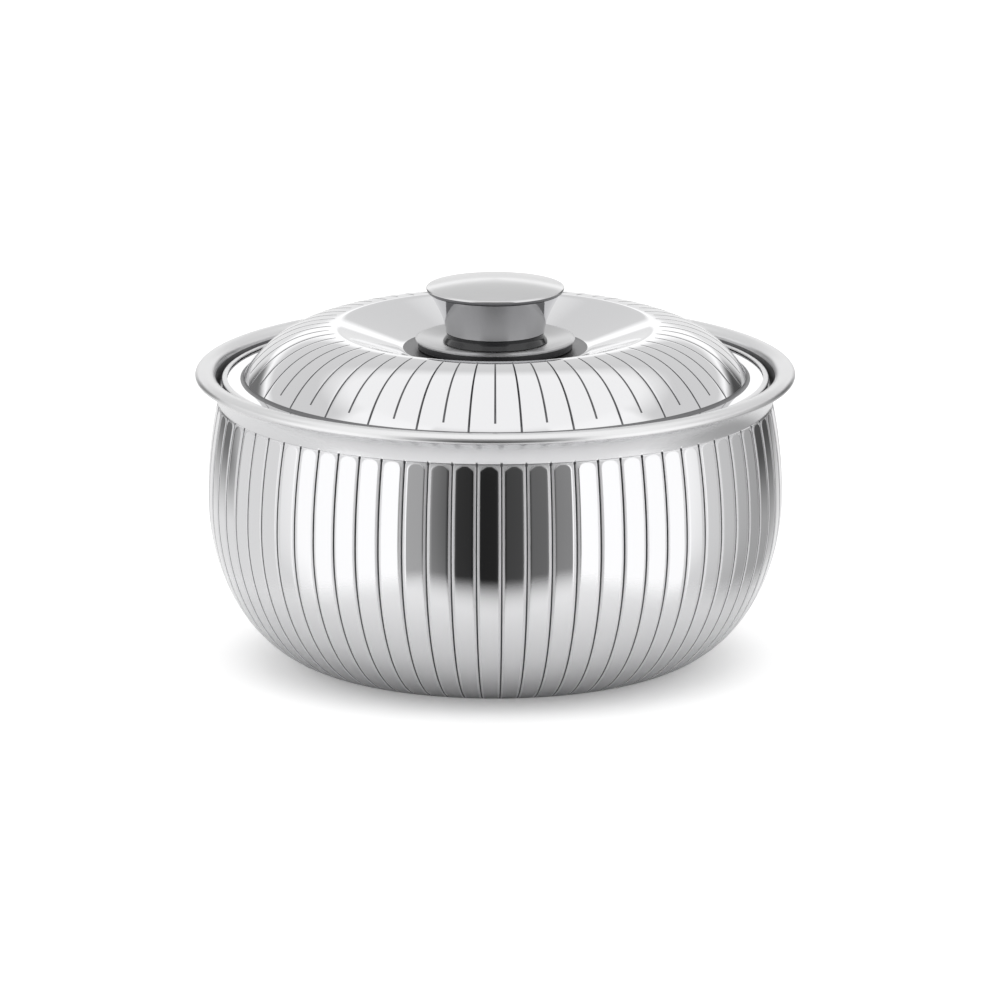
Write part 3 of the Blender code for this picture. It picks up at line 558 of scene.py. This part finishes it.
plug_outline = eased([
    (0, PLUG_STEM_TOP, 0),
    (PLUG_STEM_RADIUS, PLUG_STEM_TOP, PLUG_STEM_EASE),
    (PLUG_STEM_RADIUS, PLUG_HEAD_TOP, 0),
    (PLUG_HEAD_RADIUS, PLUG_HEAD_TOP, PLUG_HEAD_TOP_EASE),
    (PLUG_HEAD_RADIUS, PLUG_HEAD_BOTTOM, PLUG_HEAD_EASE),
    (0, PLUG_HEAD_BOTTOM, 0),
])
fill_plug = lathe("foam_hole_plug", plug_outline, round_angles(PLUG_COLUMNS))
fill_plug.data.materials.append(black_plastic)
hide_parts("fill_plug")
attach(fill_plug, "pot")


# Foam between the bowl and the shell, and in the lid: rigid polyurethane, poured in through the
# base and left to rise. Nothing of it shows once the pot is closed.
FOAM_COLOURS = ((0.80, 0.70, 0.45, 1), (0.90, 0.82, 0.58, 1))
FOAM_ROUGHNESS = 0.9
FOAM_CELL_SCALE = 700
FOAM_CELL_DEPTH = 0.0004
FOAM_GAP = 0.0004
FOAM_TOP = 0.1195
FOAM_TOP_EASE = 0.0010


def foam_finish():
    """Pale yellow foam with fine cells."""
    finish = bpy.data.materials.new("rigid_foam")
    finish.use_nodes = True
    nodes = finish.node_tree.nodes
    links = finish.node_tree.links
    shader = nodes["Principled BSDF"]
    shader.inputs["Roughness"].default_value = FOAM_ROUGHNESS
    place = nodes.new("ShaderNodeTexCoord").outputs["Object"]
    cells = nodes.new("ShaderNodeTexVoronoi")
    cells.inputs["Scale"].default_value = FOAM_CELL_SCALE
    links.new(place, cells.inputs["Vector"])
    tint = nodes.new("ShaderNodeMix")
    tint.data_type = "RGBA"
    tint.inputs["A"].default_value = FOAM_COLOURS[0]
    tint.inputs["B"].default_value = FOAM_COLOURS[1]
    links.new(cells.outputs["Distance"], tint.inputs["Factor"])
    links.new(tint.outputs["Result"], shader.inputs["Base Color"])
    bump = nodes.new("ShaderNodeBump")
    bump.inputs["Distance"].default_value = FOAM_CELL_DEPTH
    links.new(cells.outputs["Distance"], bump.inputs["Height"])
    links.new(bump.outputs["Normal"], shader.inputs["Normal"])
    return finish


def finish_node(node, finish):
    """Puts a finish on a solid of the frame that stays as it is."""
    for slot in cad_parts[node].material_slots:
        slot.material = finish


def pot_foam_outline():
    """Outline of the foam below and round the bowl, within the shell and above the base plate."""
    below_bowl = BOWL_CORNER_RADIUS + BOWL_SHEET + FOAM_GAP
    centre = (BOWL_RADIUS - BOWL_CORNER_RADIUS, BOWL_FLOOR_HEIGHT + BOWL_CORNER_RADIUS)
    hollow = arc(centre, (below_bowl, below_bowl), -90, 0, BOWL_CORNER_STEPS)
    depth = SHELL_SHEET + FOAM_GAP
    inside = [(point[0] - normal[0] * depth, point[1] - normal[1] * depth)
              for point, normal in zip(skin, outward(skin))]
    foot = FOOT_HEM_HEIGHT + FOAM_GAP
    side = [point for point in inside if foot < point[1] < FOAM_TOP]
    panel = BASE_PANEL_HEIGHT + FOAM_GAP
    stem = PLUG_STEM_RADIUS + FOAM_GAP
    return [
        (0, hollow[0][1]),
        *hollow,
        (hollow[-1][0], FOAM_TOP - FOAM_TOP_EASE),
        (hollow[-1][0] + FOAM_TOP_EASE, FOAM_TOP),
        (side[0][0], FOAM_TOP),
        *side,
        (BASE_PLATE_RADIUS + FOAM_GAP, foot),
        (BASE_PANEL_RADIUS + BASE_PANEL_SLOPE, BASE_PLATE_HEIGHT + FOAM_GAP),
        (BASE_PANEL_RADIUS, panel),
        (stem, panel),
        (stem, PLUG_STEM_TOP + FOAM_GAP),
        (0, PLUG_STEM_TOP + FOAM_GAP),
    ]


rigid_foam = foam_finish()
pot_foam = lathe("foam_round_the_bowl", pot_foam_outline(), round_angles(RIM_COLUMNS))
pot_foam.data.materials.append(rigid_foam)
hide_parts("pot_insulation")
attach(pot_foam, "pot")
finish_node("lid_insulation", rigid_foam)


# Seal: a white silicone ring with an angled section, stretched on the plug of the lid. It lies
# between the lid and the ledge of the bowl and keeps the steam in.
SEAL_INNER_RADIUS = 0.1065
SEAL_OUTER_RADIUS = 0.1155
SEAL_SKIRT_RADIUS = 0.1074
SEAL_TOP = 0.1220
SEAL_BOTTOM = 0.1208
SEAL_SKIRT_END = 0.1163
SEAL_EASE = 0.0004
SEAL_SKIRT_EASE = 0.0003
SILICONE_COLOUR = (0.80, 0.80, 0.78, 1)
SILICONE_ROUGHNESS = 0.5

seal_outline = eased([
    (SEAL_INNER_RADIUS, SEAL_TOP, 0),
    (SEAL_OUTER_RADIUS, SEAL_TOP, SEAL_EASE),
    (SEAL_OUTER_RADIUS, SEAL_BOTTOM, SEAL_EASE),
    (SEAL_SKIRT_RADIUS, SEAL_BOTTOM, SEAL_EASE),
    (SEAL_SKIRT_RADIUS, SEAL_SKIRT_END, SEAL_SKIRT_EASE),
    (SEAL_INNER_RADIUS, SEAL_SKIRT_END, 0),
])
seal = lathe("silicone_seal_ring", seal_outline, round_angles(RIM_COLUMNS))
white_silicone = plastic_finish("white_silicone", SILICONE_COLOUR, SILICONE_ROUGHNESS)
seal.data.materials.append(white_silicone)
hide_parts("lid_seal")
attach(seal, "seal")


# Outer shell of the lid: polished stainless sheet with a plain well for the knob, a dome with
# rolled grooves that get narrower towards its crest, and a flat flange round its foot.
LID_SHEET = 0.0008
SCREW_HOLE_RADIUS = 0.0029
WELL_RADIUS = 0.0400
WELL_HEIGHT = 0.1373
CREST_INNER = (0.0662, 0.1461)
CREST_RADIUS = 0.0684
CREST_HEIGHT = 0.1468
DOME_FOOT_RADIUS = 0.1094
DOME_BULGE = 0.0065
LID_FLANGE_HEIGHT = 0.1240
LID_EDGE_RADIUS = 0.1167
LID_FLUTES = 60
LID_GROOVE_DEPTH = 0.0004
LID_CURL_DEPTH = 0.0001
LID_CURL_WIDTH = 0.0018
LID_LINE_HALF_WIDTH = 0.0005
LID_FOOT_SHADE_BAND = (0.1083, 0.1103)
LID_GROOVE_ENDS = (0.0700, 0.0760, 0.1072, 0.1082)
LID_FAINT_ENDS = (0.0715, 0.0790, 0.1030, 0.1062)
FAINT_GROOVE_SHARE = 0.7
WELL_EASE = 0.0025
CREST_EASE = 0.0006
DOME_FOOT_EASE = 0.0010
DOME_ROWS = 40
SHADE_SLOT = 2


def lid_outline():
    """Skin of the lid from the hole for the screw out to its edge."""
    width = DOME_FOOT_RADIUS - CREST_RADIUS
    rise = CREST_HEIGHT - LID_FLANGE_HEIGHT
    length = math.hypot(width, rise)
    well = eased([
        (SCREW_HOLE_RADIUS, WELL_HEIGHT, 0),
        (WELL_RADIUS, WELL_HEIGHT, WELL_EASE),
        (*CREST_INNER, CREST_EASE),
        (CREST_RADIUS, CREST_HEIGHT, 0),
    ])
    dome = []
    for row in range(1, DOME_ROWS):
        share = row / DOME_ROWS
        swell = 4 * DOME_BULGE * share * (1 - share)
        radius = CREST_RADIUS + width * share + swell * rise / length
        dome.append((radius, CREST_HEIGHT - rise * share + swell * width / length))
    flange = eased([
        (*dome[-1], 0),
        (DOME_FOOT_RADIUS, LID_FLANGE_HEIGHT, DOME_FOOT_EASE),
        (LID_EDGE_RADIUS, LID_FLANGE_HEIGHT, 0),
    ])
    return well + dome + flange[1:]


def lid_dents(outline, angles, gaps):
    """Inward offsets of the lid's grooves, of which every second one is fainter."""
    dents = []
    per_flute = len(angles) // LID_FLUTES
    for radius, level in outline:
        row = []
        for place, gap in enumerate(gaps):
            faint = (place // per_flute) % 2
            ends = LID_FAINT_ENDS if faint else LID_GROOVE_ENDS
            depth_share = FAINT_GROOVE_SHARE if faint else 1
            start = smooth_share(radius, ends[0], ends[1])
            finish = 1 - smooth_share(radius, ends[2], ends[3])
            line = max(1 - gap / LID_LINE_HALF_WIDTH, 0) * LID_GROOVE_DEPTH
            curl = max(1 - gap / LID_CURL_WIDTH, 0) ** 2 * LID_CURL_DEPTH
            row.append((line + curl) * depth_share * start * finish)
        dents.append(row)
    return dents


def lid_line_width(row, place):
    """Half width of the painted shade line in a row of the lid."""
    radius = lid_skin[row][0]
    faint = (place // (len(lid_angles) // LID_FLUTES)) % 2
    ends = LID_FAINT_ENDS if faint else LID_GROOVE_ENDS
    return LID_LINE_HALF_WIDTH if ends[0] < radius < ends[3] else 0


lid_skin = lid_outline()
lid_angles, lid_gaps = flute_angles(LID_FLUTES, DOME_FOOT_RADIUS, 0, LID_LINE_HALF_WIDTH)
lid_lining = [(point[0] - normal[0] * LID_SHEET, point[1] - normal[1] * LID_SHEET)
              for point, normal in list(zip(lid_skin, outward(lid_skin)))[::-LINING_STEP]]
lid_rows = lid_dents(lid_skin, lid_angles, lid_gaps)
lid_rows += [[0] * len(lid_angles) for point in lid_lining]
lid = lathe("lid_shell", lid_skin + lid_lining, lid_angles, lid_rows)
lid.data.materials.append(polished_steel)
paint_groove_shade(lid, lid_gaps, lid_skin, lid_line_width, groove_shade_steel)
# Painted shade: the well floor under the disc and a band at the foot of the dome get the dark
# steel.
lid.data.materials.append(painted_shade_steel)
lid_slots = [polygon.material_index for polygon in lid.data.polygons]
for row, (radius, level) in enumerate(lid_skin[:-1]):
    under_disc = radius < WELL_RADIUS - LID_SHEET
    if under_disc or LID_FOOT_SHADE_BAND[0] < radius < LID_FOOT_SHADE_BAND[1]:
        first = row * len(lid_gaps)
        lid_slots[first:first + len(lid_gaps)] = [SHADE_SLOT] * len(lid_gaps)
lid.data.polygons.foreach_set("material_index", lid_slots)
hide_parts("lid_outer_shell")
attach(lid, "lid")


# Inner shell of the lid: pressed satin steel with a plug that dips into the bowl and a raised
# panel. Its edge is folded up and over the flange of the outer shell and shows as a bead.
LID_INNER_SHEET = 0.0006
LID_INNER_HEIGHT = 0.1223
LID_BEAD_TOP = 0.1249
LID_BEAD_RADIUS = 0.1185
LID_BEAD_INNER = 0.1161
LID_PLUG_RADIUS = 0.1060
LID_PLUG_HEIGHT = 0.1113
LID_PANEL_RADIUS = 0.0800
LID_PANEL_SLOPE = 0.0060
LID_PANEL_HEIGHT = 0.1143
LID_BEAD_EASE = 0.0012
LID_PLUG_TOP_EASE = 0.0008
LID_PLUG_EASE = 0.0055
LID_PANEL_EASE = 0.0020

liner_skin = eased([
    (LID_BEAD_INNER, LID_BEAD_TOP, 0),
    (LID_BEAD_RADIUS, LID_BEAD_TOP, LID_BEAD_EASE),
    (LID_BEAD_RADIUS, LID_INNER_HEIGHT, LID_BEAD_EASE),
    (LID_PLUG_RADIUS, LID_INNER_HEIGHT, LID_PLUG_TOP_EASE),
    (LID_PLUG_RADIUS, LID_PLUG_HEIGHT, LID_PLUG_EASE),
    (LID_PANEL_RADIUS + LID_PANEL_SLOPE, LID_PLUG_HEIGHT, LID_PANEL_EASE),
    (LID_PANEL_RADIUS, LID_PANEL_HEIGHT, LID_PANEL_EASE),
    (0, LID_PANEL_HEIGHT, 0),
])
liner_outline = sheet(liner_skin, LID_INNER_SHEET)
liner = lathe("lid_inner_shell_pressed", liner_outline, round_angles(RIM_COLUMNS))
liner.data.materials.append(satin_steel)
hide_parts("lid_inner_shell")
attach(liner, "lid")


# Fixing of the knob: a steel screw from below with a split washer and a wide backing washer,
# in a brass insert. All of it is shut in between the lid's shells, so the solids stay.
BRASS_COLOUR = (0.78, 0.56, 0.22, 1)
BRASS_MARKS = (0.28, 3000, 0.00002, 0.04)
PLATED_COLOUR = (0.62, 0.62, 0.63, 1)
PLATED_MARKS = (0.30, 2400, 0.00002, 0.05)

turned_brass = steel("turned_brass", BRASS_COLOUR, BRASS_MARKS)
plated_steel = steel("plated_steel", PLATED_COLOUR, PLATED_MARKS)
finish_node("knob_insert", turned_brass)
finish_node("knob_screw", plated_steel)
finish_node("spring_washer", plated_steel)
finish_node("backing_washer", plated_steel)
finish_node("knob_core", black_plastic)


# Disc and its spacer: a dished satin steel disc stands on a black plastic ring in the well and
# shades the hand from the warm lid.
DISC_COLOUR = (0.52, 0.52, 0.525, 1)
DISC_MARKS = (0.34, 2600, 0.00001, 0.03)
DISC_TURNED = 0.8
DISC_SHEET = 0.0008
DISC_RADIUS = 0.0346
DISC_LIP = (0.0334, 0.1421)
DISC_EDGE_HEIGHT = 0.1416
DISC_CENTRE_RADIUS = 0.0240
DISC_HEIGHT = 0.1401
SPACER_RADIUS = 0.0334
SPACER_TOP = 0.1409
SPACER_INNER_TOP = 0.1390
SPACER_BOTTOM = 0.1376
DISC_CENTRE_EASE = 0.0030
DISC_LIP_EASE = 0.0006
SPACER_INNER_EASE = 0.0005
SPACER_TOP_EASE = 0.0002
SPACER_FOOT_EASE = 0.0004
KNOB_COLUMNS = 128

turned_steel = steel("turned_steel", DISC_COLOUR, DISC_MARKS, turned=DISC_TURNED)
disc_skin = eased([
    (SCREW_HOLE_RADIUS, DISC_HEIGHT, 0),
    (DISC_CENTRE_RADIUS, DISC_HEIGHT, DISC_CENTRE_EASE),
    (*DISC_LIP, DISC_LIP_EASE),
    (DISC_RADIUS, DISC_EDGE_HEIGHT, 0),
])
disc = lathe("knob_disc_dished", sheet(disc_skin, DISC_SHEET), round_angles(KNOB_COLUMNS))
disc.data.materials.append(turned_steel)
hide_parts("knob_disc")
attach(disc, "lid")

spacer_outline = eased([
    (SCREW_HOLE_RADIUS, SPACER_INNER_TOP, 0),
    (DISC_CENTRE_RADIUS, SPACER_INNER_TOP, SPACER_INNER_EASE),
    (SPACER_RADIUS, SPACER_TOP, SPACER_TOP_EASE),
    (SPACER_RADIUS, SPACER_BOTTOM, SPACER_FOOT_EASE),
    (SCREW_HOLE_RADIUS, SPACER_BOTTOM, 0),
])
spacer = lathe("disc_spacer", spacer_outline, round_angles(KNOB_COLUMNS))
spacer.data.materials.append(black_plastic)
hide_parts("knob_spacer")
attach(spacer, "lid")


# Collar: a waisted ring of glossy black plastic between the disc and the knob. It is turned
# with the knob's foot and keeps the heat of the disc out of it.
COLLAR_FOOT = 0.1404
COLLAR_TOP = 0.1445
COLLAR_RADIUS = 0.0227
COLLAR_WAIST = (0.0209, 0.1430)
COLLAR_TOP_RADIUS = 0.0212
COLLAR_TOP_EASE = 0.0003
COLLAR_WAIST_EASE = 0.0008
COLLAR_FOOT_EASE = 0.0004
COLLAR_ROUGHNESS = 0.12

gloss_plastic = plastic_finish("gloss_black_plastic", PLASTIC_COLOUR, COLLAR_ROUGHNESS)
collar_outline = eased([
    (SCREW_HOLE_RADIUS, COLLAR_TOP, 0),
    (COLLAR_TOP_RADIUS, COLLAR_TOP, COLLAR_TOP_EASE),
    (*COLLAR_WAIST, COLLAR_WAIST_EASE),
    (COLLAR_RADIUS, COLLAR_FOOT, COLLAR_FOOT_EASE),
    (SCREW_HOLE_RADIUS, COLLAR_FOOT, 0),
])
collar = lathe("knob_collar_waisted", collar_outline, round_angles(KNOB_COLUMNS))
collar.data.materials.append(gloss_plastic)
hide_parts("knob_collar")
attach(collar, "lid")


# Neck of the knob: a polished steel sleeve that opens upwards like a trumpet. It is slipped
# over the plastic core of the knob and held between the collar and the cap.
NECK_SHEET = 0.0008
KNOB_FOOT_RADIUS = 0.0214
KNOB_TOP_RADIUS = 0.0286
KNOB_FOOT_HEIGHT = 0.1448
KNOB_NECK_LENGTH = 0.0171
KNOB_NECK_CURVE = 1.58
KNOB_NECK_COLOUR = (0.56, 0.56, 0.57, 1)
KNOB_NECK_ROWS = 24

neck_skin = []
for row in range(KNOB_NECK_ROWS + 1):
    share = 1 - row / KNOB_NECK_ROWS
    reach = KNOB_FOOT_RADIUS + (KNOB_TOP_RADIUS - KNOB_FOOT_RADIUS) * share**KNOB_NECK_CURVE
    neck_skin.append((reach, KNOB_FOOT_HEIGHT + KNOB_NECK_LENGTH * share))
neck = lathe("knob_neck_sleeve", sheet(neck_skin, NECK_SHEET), round_angles(KNOB_COLUMNS))
neck.data.materials.append(steel("knob_steel", KNOB_NECK_COLOUR, POLISH_MARKS))
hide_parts("knob_neck")
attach(neck, "lid")


# Cap of the knob: a domed satin steel cap with a polished edge. It is pressed over the top of
# the core, and its lip stands on the sleeve.
CAP_COLOUR = (0.62, 0.62, 0.625, 1)
CAP_RADIUS = 0.0300
CAP_RIM_HEIGHT = 0.1636
CAP_LIP_RADIUS = 0.0292
CAP_LIP_INNER = 0.0280
CAP_LIP_HEIGHT = 0.1622
CAP_CROWN_RISE = 0.0044
CAP_EDGE_WIDTH = 0.0007
CAP_SHOULDER_HEIGHT = 0.1644
CAP_CROWN_CURVE = 2.0
CAP_EDGE_ANGLE = 75
CAP_LIP_EASE = 0.0003
CAP_ROWS = 24
CAP_HOLLOW_STEPS = 16
CAP_MARKS = (0.17, 2600, 0.00001, 0.02)
CAP_TURNED = 0.4

crown = []
shoulder_radius = CAP_RADIUS - CAP_EDGE_WIDTH
dome_rise = CAP_RIM_HEIGHT + CAP_CROWN_RISE - CAP_SHOULDER_HEIGHT
for row in range(CAP_ROWS + 1):
    share = row / CAP_ROWS
    level = CAP_SHOULDER_HEIGHT + dome_rise * (1 - share**CAP_CROWN_CURVE)
    crown.append((shoulder_radius * share, level))
edge_size = (CAP_EDGE_WIDTH, CAP_SHOULDER_HEIGHT - CAP_RIM_HEIGHT)
crown += arc((shoulder_radius, CAP_RIM_HEIGHT), edge_size, CAP_EDGE_ANGLE, 0, BEND_STEPS)
lip_start = len(crown) - 1
lip = eased([
    (*crown[-1], 0),
    (CAP_LIP_RADIUS, CAP_LIP_HEIGHT, CAP_LIP_EASE),
    (CAP_LIP_INNER, CAP_LIP_HEIGHT, CAP_LIP_EASE),
    (CAP_LIP_INNER, CAP_RIM_HEIGHT, 0),
])
hollow_size = (CAP_LIP_INNER, CAP_SHOULDER_HEIGHT - CAP_RIM_HEIGHT)
hollow = arc((0, CAP_RIM_HEIGHT), hollow_size, 0, 90, CAP_HOLLOW_STEPS)
cap_outline = [(max(point[0], 0), point[1]) for point in crown + lip[1:] + hollow[1:]]
cap = lathe("knob_cap_domed", cap_outline, round_angles(KNOB_COLUMNS))
cap.data.materials.append(steel("turned_cap", CAP_COLOUR, CAP_MARKS, turned=CAP_TURNED))
# Painted shade: the rolled-under lip gets the dark steel, for the shade beneath the cap's edge.
cap.data.materials.append(painted_shade_steel)
for index, polygon in enumerate(cap.data.polygons):
    polygon.material_index = 1 if index >= lip_start * KNOB_COLUMNS else 0
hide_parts("knob_cap")
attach(cap, "lid")


# Floor: a wide matt white table. Polished metal sees only its middle, a round top with a soft
# edge, and past that the studio itself, as on a small table in a light tent.
FLOOR_REACH = 6.0
TABLE_RADIUS = 0.40
TABLE_FADE = (0.26, 0.40)
TABLE_SIDE_STRETCH = (2, 1, 1)
TABLE_FRONT_FADE = (0.165, 0.27)
TABLE_FRONT_SLANT_SHARE = 0.27
TABLE_DROP = 0.0001
FLOOR_COLOUR = (0.82, 0.82, 0.82, 1)
FLOOR_LIFT = 0.28
TABLE_COLOUR = (0.80, 0.80, 0.80, 1)
MATT_ROUGHNESS = 0.9
DISC_SIDES = 96


def table_finish(name, colour, lift):
    """Matt white; the lift is what the camera sees added to it, so that it runs out to white."""
    finish = bpy.data.materials.new(name)
    finish.use_nodes = True
    nodes = finish.node_tree.nodes
    links = finish.node_tree.links
    shader = nodes["Principled BSDF"]
    shader.inputs["Base Color"].default_value = colour
    shader.inputs["Roughness"].default_value = MATT_ROUGHNESS
    shader.inputs["Specular IOR Level"].default_value = 0
    path = nodes.new("ShaderNodeLightPath")
    amount = nodes.new("ShaderNodeMath")
    amount.operation = "MULTIPLY"
    amount.inputs[1].default_value = lift
    links.new(path.outputs["Is Camera Ray"], amount.inputs[0])
    shader.inputs["Emission Color"].default_value = (1, 1, 1, 1)
    links.new(amount.outputs["Value"], shader.inputs["Emission Strength"])
    return finish


def flat_disc(name, radius, height):
    mesh = bpy.data.meshes.new(name)
    rim = [(radius * math.cos(angle), radius * math.sin(angle), height)
           for angle in round_angles(DISC_SIDES)]
    mesh.from_pydata(rim, [], [list(range(len(rim)))])
    item = bpy.data.objects.new(name, mesh)
    bpy.context.scene.collection.objects.link(item)
    return item


floor = flat_disc("floor", FLOOR_REACH, -TABLE_DROP)
floor.data.materials.append(table_finish("white_floor", FLOOR_COLOUR, FLOOR_LIFT))
floor.visible_glossy = False

table = flat_disc("table_top", TABLE_RADIUS, 0)
table_top = table_finish("table_top", TABLE_COLOUR, 0)
nodes = table_top.node_tree.nodes
links = table_top.node_tree.links
place = nodes.new("ShaderNodeTexCoord").outputs["Object"]
wider = nodes.new("ShaderNodeVectorMath")
wider.operation = "MULTIPLY"
wider.inputs[1].default_value = TABLE_SIDE_STRETCH
links.new(place, wider.inputs[0])
reach = nodes.new("ShaderNodeVectorMath")
reach.operation = "LENGTH"
links.new(wider.outputs["Vector"], reach.inputs[0])
split = nodes.new("ShaderNodeSeparateXYZ")
links.new(place, split.inputs["Vector"])


def stage_math(operation, first, second=None):
    step = nodes.new("ShaderNodeMath")
    step.operation = operation
    for socket, value in enumerate((first, second)):
        if value is None:
            continue
        if isinstance(value, (int, float)):
            step.inputs[socket].default_value = value
        else:
            links.new(value, step.inputs[socket])
    return step.outputs["Value"]


def stage_range(value, low, high, first, last):
    spread = nodes.new("ShaderNodeMapRange")
    spread.interpolation_type = "SMOOTHSTEP"
    limits = {"From Min": low, "From Max": high, "To Min": first, "To Max": last}
    for name, number in limits.items():
        spread.inputs[name].default_value = number
    links.new(value, spread.inputs["Value"])
    return spread.outputs["Result"]


aside = stage_math("MULTIPLY", stage_math("ABSOLUTE", split.outputs["X"]), TABLE_FRONT_SLANT_SHARE)
forward = stage_math("MULTIPLY", stage_math("ADD", split.outputs["Y"], aside), -1)
round_fade = stage_range(reach.outputs["Value"], *TABLE_FADE, 1, 0)
front_fade = stage_range(forward, *TABLE_FRONT_FADE, 1, 0)
alpha = stage_math("MINIMUM", round_fade, front_fade)
links.new(alpha, nodes["Principled BSDF"].inputs["Alpha"])
table.data.materials.append(table_top)
table.visible_camera = False
table.visible_diffuse = False
table.visible_shadow = False


# Studio: a white tent with a soft light overhead. Its front is open and dark where the camera
# stands, its front sides are brightly lit, and two dark flags stand behind at the sides.
TENT_LEVELS = (
    (0.00, 0.95), (0.17, 0.92), (0.20, 1.32), (0.27, 1.32), (0.33, 0.84), (0.64, 0.84),
    (0.78, 1.20), (1.00, 1.20),
)
RING_LEVELS = (
    (-180, 0.95), (-129, 0.92), (-98, 0.92), (-84, 1.35), (-39, 1.38), (-36, 0.52),
    (-30, 0.46), (-24, 0.31), (-21, 0.12), (-15, 0.055), (-10, 0.026), (-2, 0.022),
    (4, 0.05), (10, 0.09), (18, 0.17), (27, 0.28), (31, 0.36), (34, 1.38), (84, 1.35),
    (92, 0.90), (108, 0.70), (124, 0.48), (148, 0.42), (162, 0.95), (180, 0.95),
)
RING_TOP = (0.17, 0.22)
FRONT_EDGE = (82, 96)
FRONT_TOP = (0.72, 0.83)
FRONT_SHARE = 0.7
FLAG_START = (127, 133)
FLAG_END = (152, 160)
FLAG_FOOT = (-0.25, -0.12)
FLAG_TOP = (0.20, 0.28)
FLAG_SHARE = 0.78
NO_LOWER_EDGE = (-2, -1)
LAMP_PLACE = (0, -0.1, 1.3)
LAMP_SIZE = 1.4
LAMP_POWER = 9

world = bpy.data.worlds.new("light_tent")
bpy.context.scene.world = world
world.use_nodes = True
nodes = world.node_tree.nodes
links = world.node_tree.links
direction = nodes.new("ShaderNodeTexCoord").outputs["Generated"]
split = nodes.new("ShaderNodeSeparateXYZ")
links.new(direction, split.inputs["Vector"])


def stage_ramp(value, stops):
    """Level that follows a value from 0 to 1 through the stops (position, level)."""
    ramp = nodes.new("ShaderNodeValToRGB")
    elements = ramp.color_ramp.elements
    elements.remove(elements[-1])
    for index, (position, level) in enumerate(stops):
        stop = elements[0] if index == 0 else elements.new(position)
        stop.position = position
        stop.color = (level, level, level, 1)
    links.new(value, ramp.inputs["Fac"])
    return ramp.outputs["Color"]


towards_camera = stage_math("MULTIPLY", split.outputs["Y"], -1)
bearing = stage_math("ARCTAN2", split.outputs["X"], towards_camera)
turn_share = stage_math("ADD", stage_math("DIVIDE", bearing, math.tau), 0.5)
ring = stage_ramp(turn_share, [(degrees / 360 + 0.5, level) for degrees, level in RING_LEVELS])
height = split.outputs["Z"]
aside_angle = stage_math("MULTIPLY", stage_math("ABSOLUTE", bearing), math.degrees(1))


def patch(start, end, foot, top):
    """Share that is 1 inside a patch of the tent, between two bearings and two heights."""
    sides = stage_math("MULTIPLY", stage_range(aside_angle, *start, 0, 1),
                       stage_range(aside_angle, *end, 1, 0))
    rise = stage_math("MULTIPLY", stage_range(height, *foot, 0, 1),
                      stage_range(height, *top, 1, 0))
    return stage_math("MULTIPLY", sides, rise)


tent = stage_ramp(height, TENT_LEVELS)
front = patch(NO_LOWER_EDGE, FRONT_EDGE, NO_LOWER_EDGE, FRONT_TOP)
front = stage_math("MULTIPLY", front, FRONT_SHARE)
low_ring = stage_math("MAXIMUM", stage_range(height, *RING_TOP, 1, 0), front)
flags = stage_math("MULTIPLY", patch(FLAG_START, FLAG_END, FLAG_FOOT, FLAG_TOP), FLAG_SHARE)
open_share = stage_math("SUBTRACT", 1, flags)
level = nodes.new("ShaderNodeMix")
level.data_type = "FLOAT"
links.new(low_ring, level.inputs["Factor"])
links.new(tent, level.inputs["A"])
links.new(ring, level.inputs["B"])
background = nodes["Background"]
seen = stage_math("MULTIPLY", level.outputs["Result"], open_share)
links.new(seen, background.inputs["Strength"])
background.inputs["Color"].default_value = (1, 1, 1, 1)

overhead_light = bpy.data.lights.new("overhead_softbox", "AREA")
overhead_light.shape = "SQUARE"
overhead_light.size = LAMP_SIZE
overhead_light.energy = LAMP_POWER
overhead = bpy.data.objects.new("overhead_softbox", overhead_light)
overhead.location = LAMP_PLACE
overhead.visible_glossy = False
bpy.context.scene.collection.objects.link(overhead)


# Camera: a long lens a little above the table, level with the lid's rim.
CAMERA_ELEVATION = math.radians(13.5)
CAMERA_DISTANCE = 6.0
FRAME_WIDTH = 0.4297
FRAME_CENTRE = Vector((-0.0001, 0, 0.0716))
SENSOR_WIDTH = 36
FARTHEST_VIEW = 100

camera_data = bpy.data.cameras.new("camera")
camera_data.sensor_width = SENSOR_WIDTH
camera_data.lens = SENSOR_WIDTH * CAMERA_DISTANCE / FRAME_WIDTH
camera = bpy.data.objects.new("camera", camera_data)
bpy.context.scene.collection.objects.link(camera)
backwards = Vector((0, -math.cos(CAMERA_ELEVATION), math.sin(CAMERA_ELEVATION)))
camera.location = FRAME_CENTRE + backwards * CAMERA_DISTANCE
camera.rotation_euler = (math.pi / 2 - CAMERA_ELEVATION, 0, 0)
camera_data.clip_end = FARTHEST_VIEW
bpy.context.scene.camera = camera
bpy.context.scene.view_settings.view_transform = "Standard"
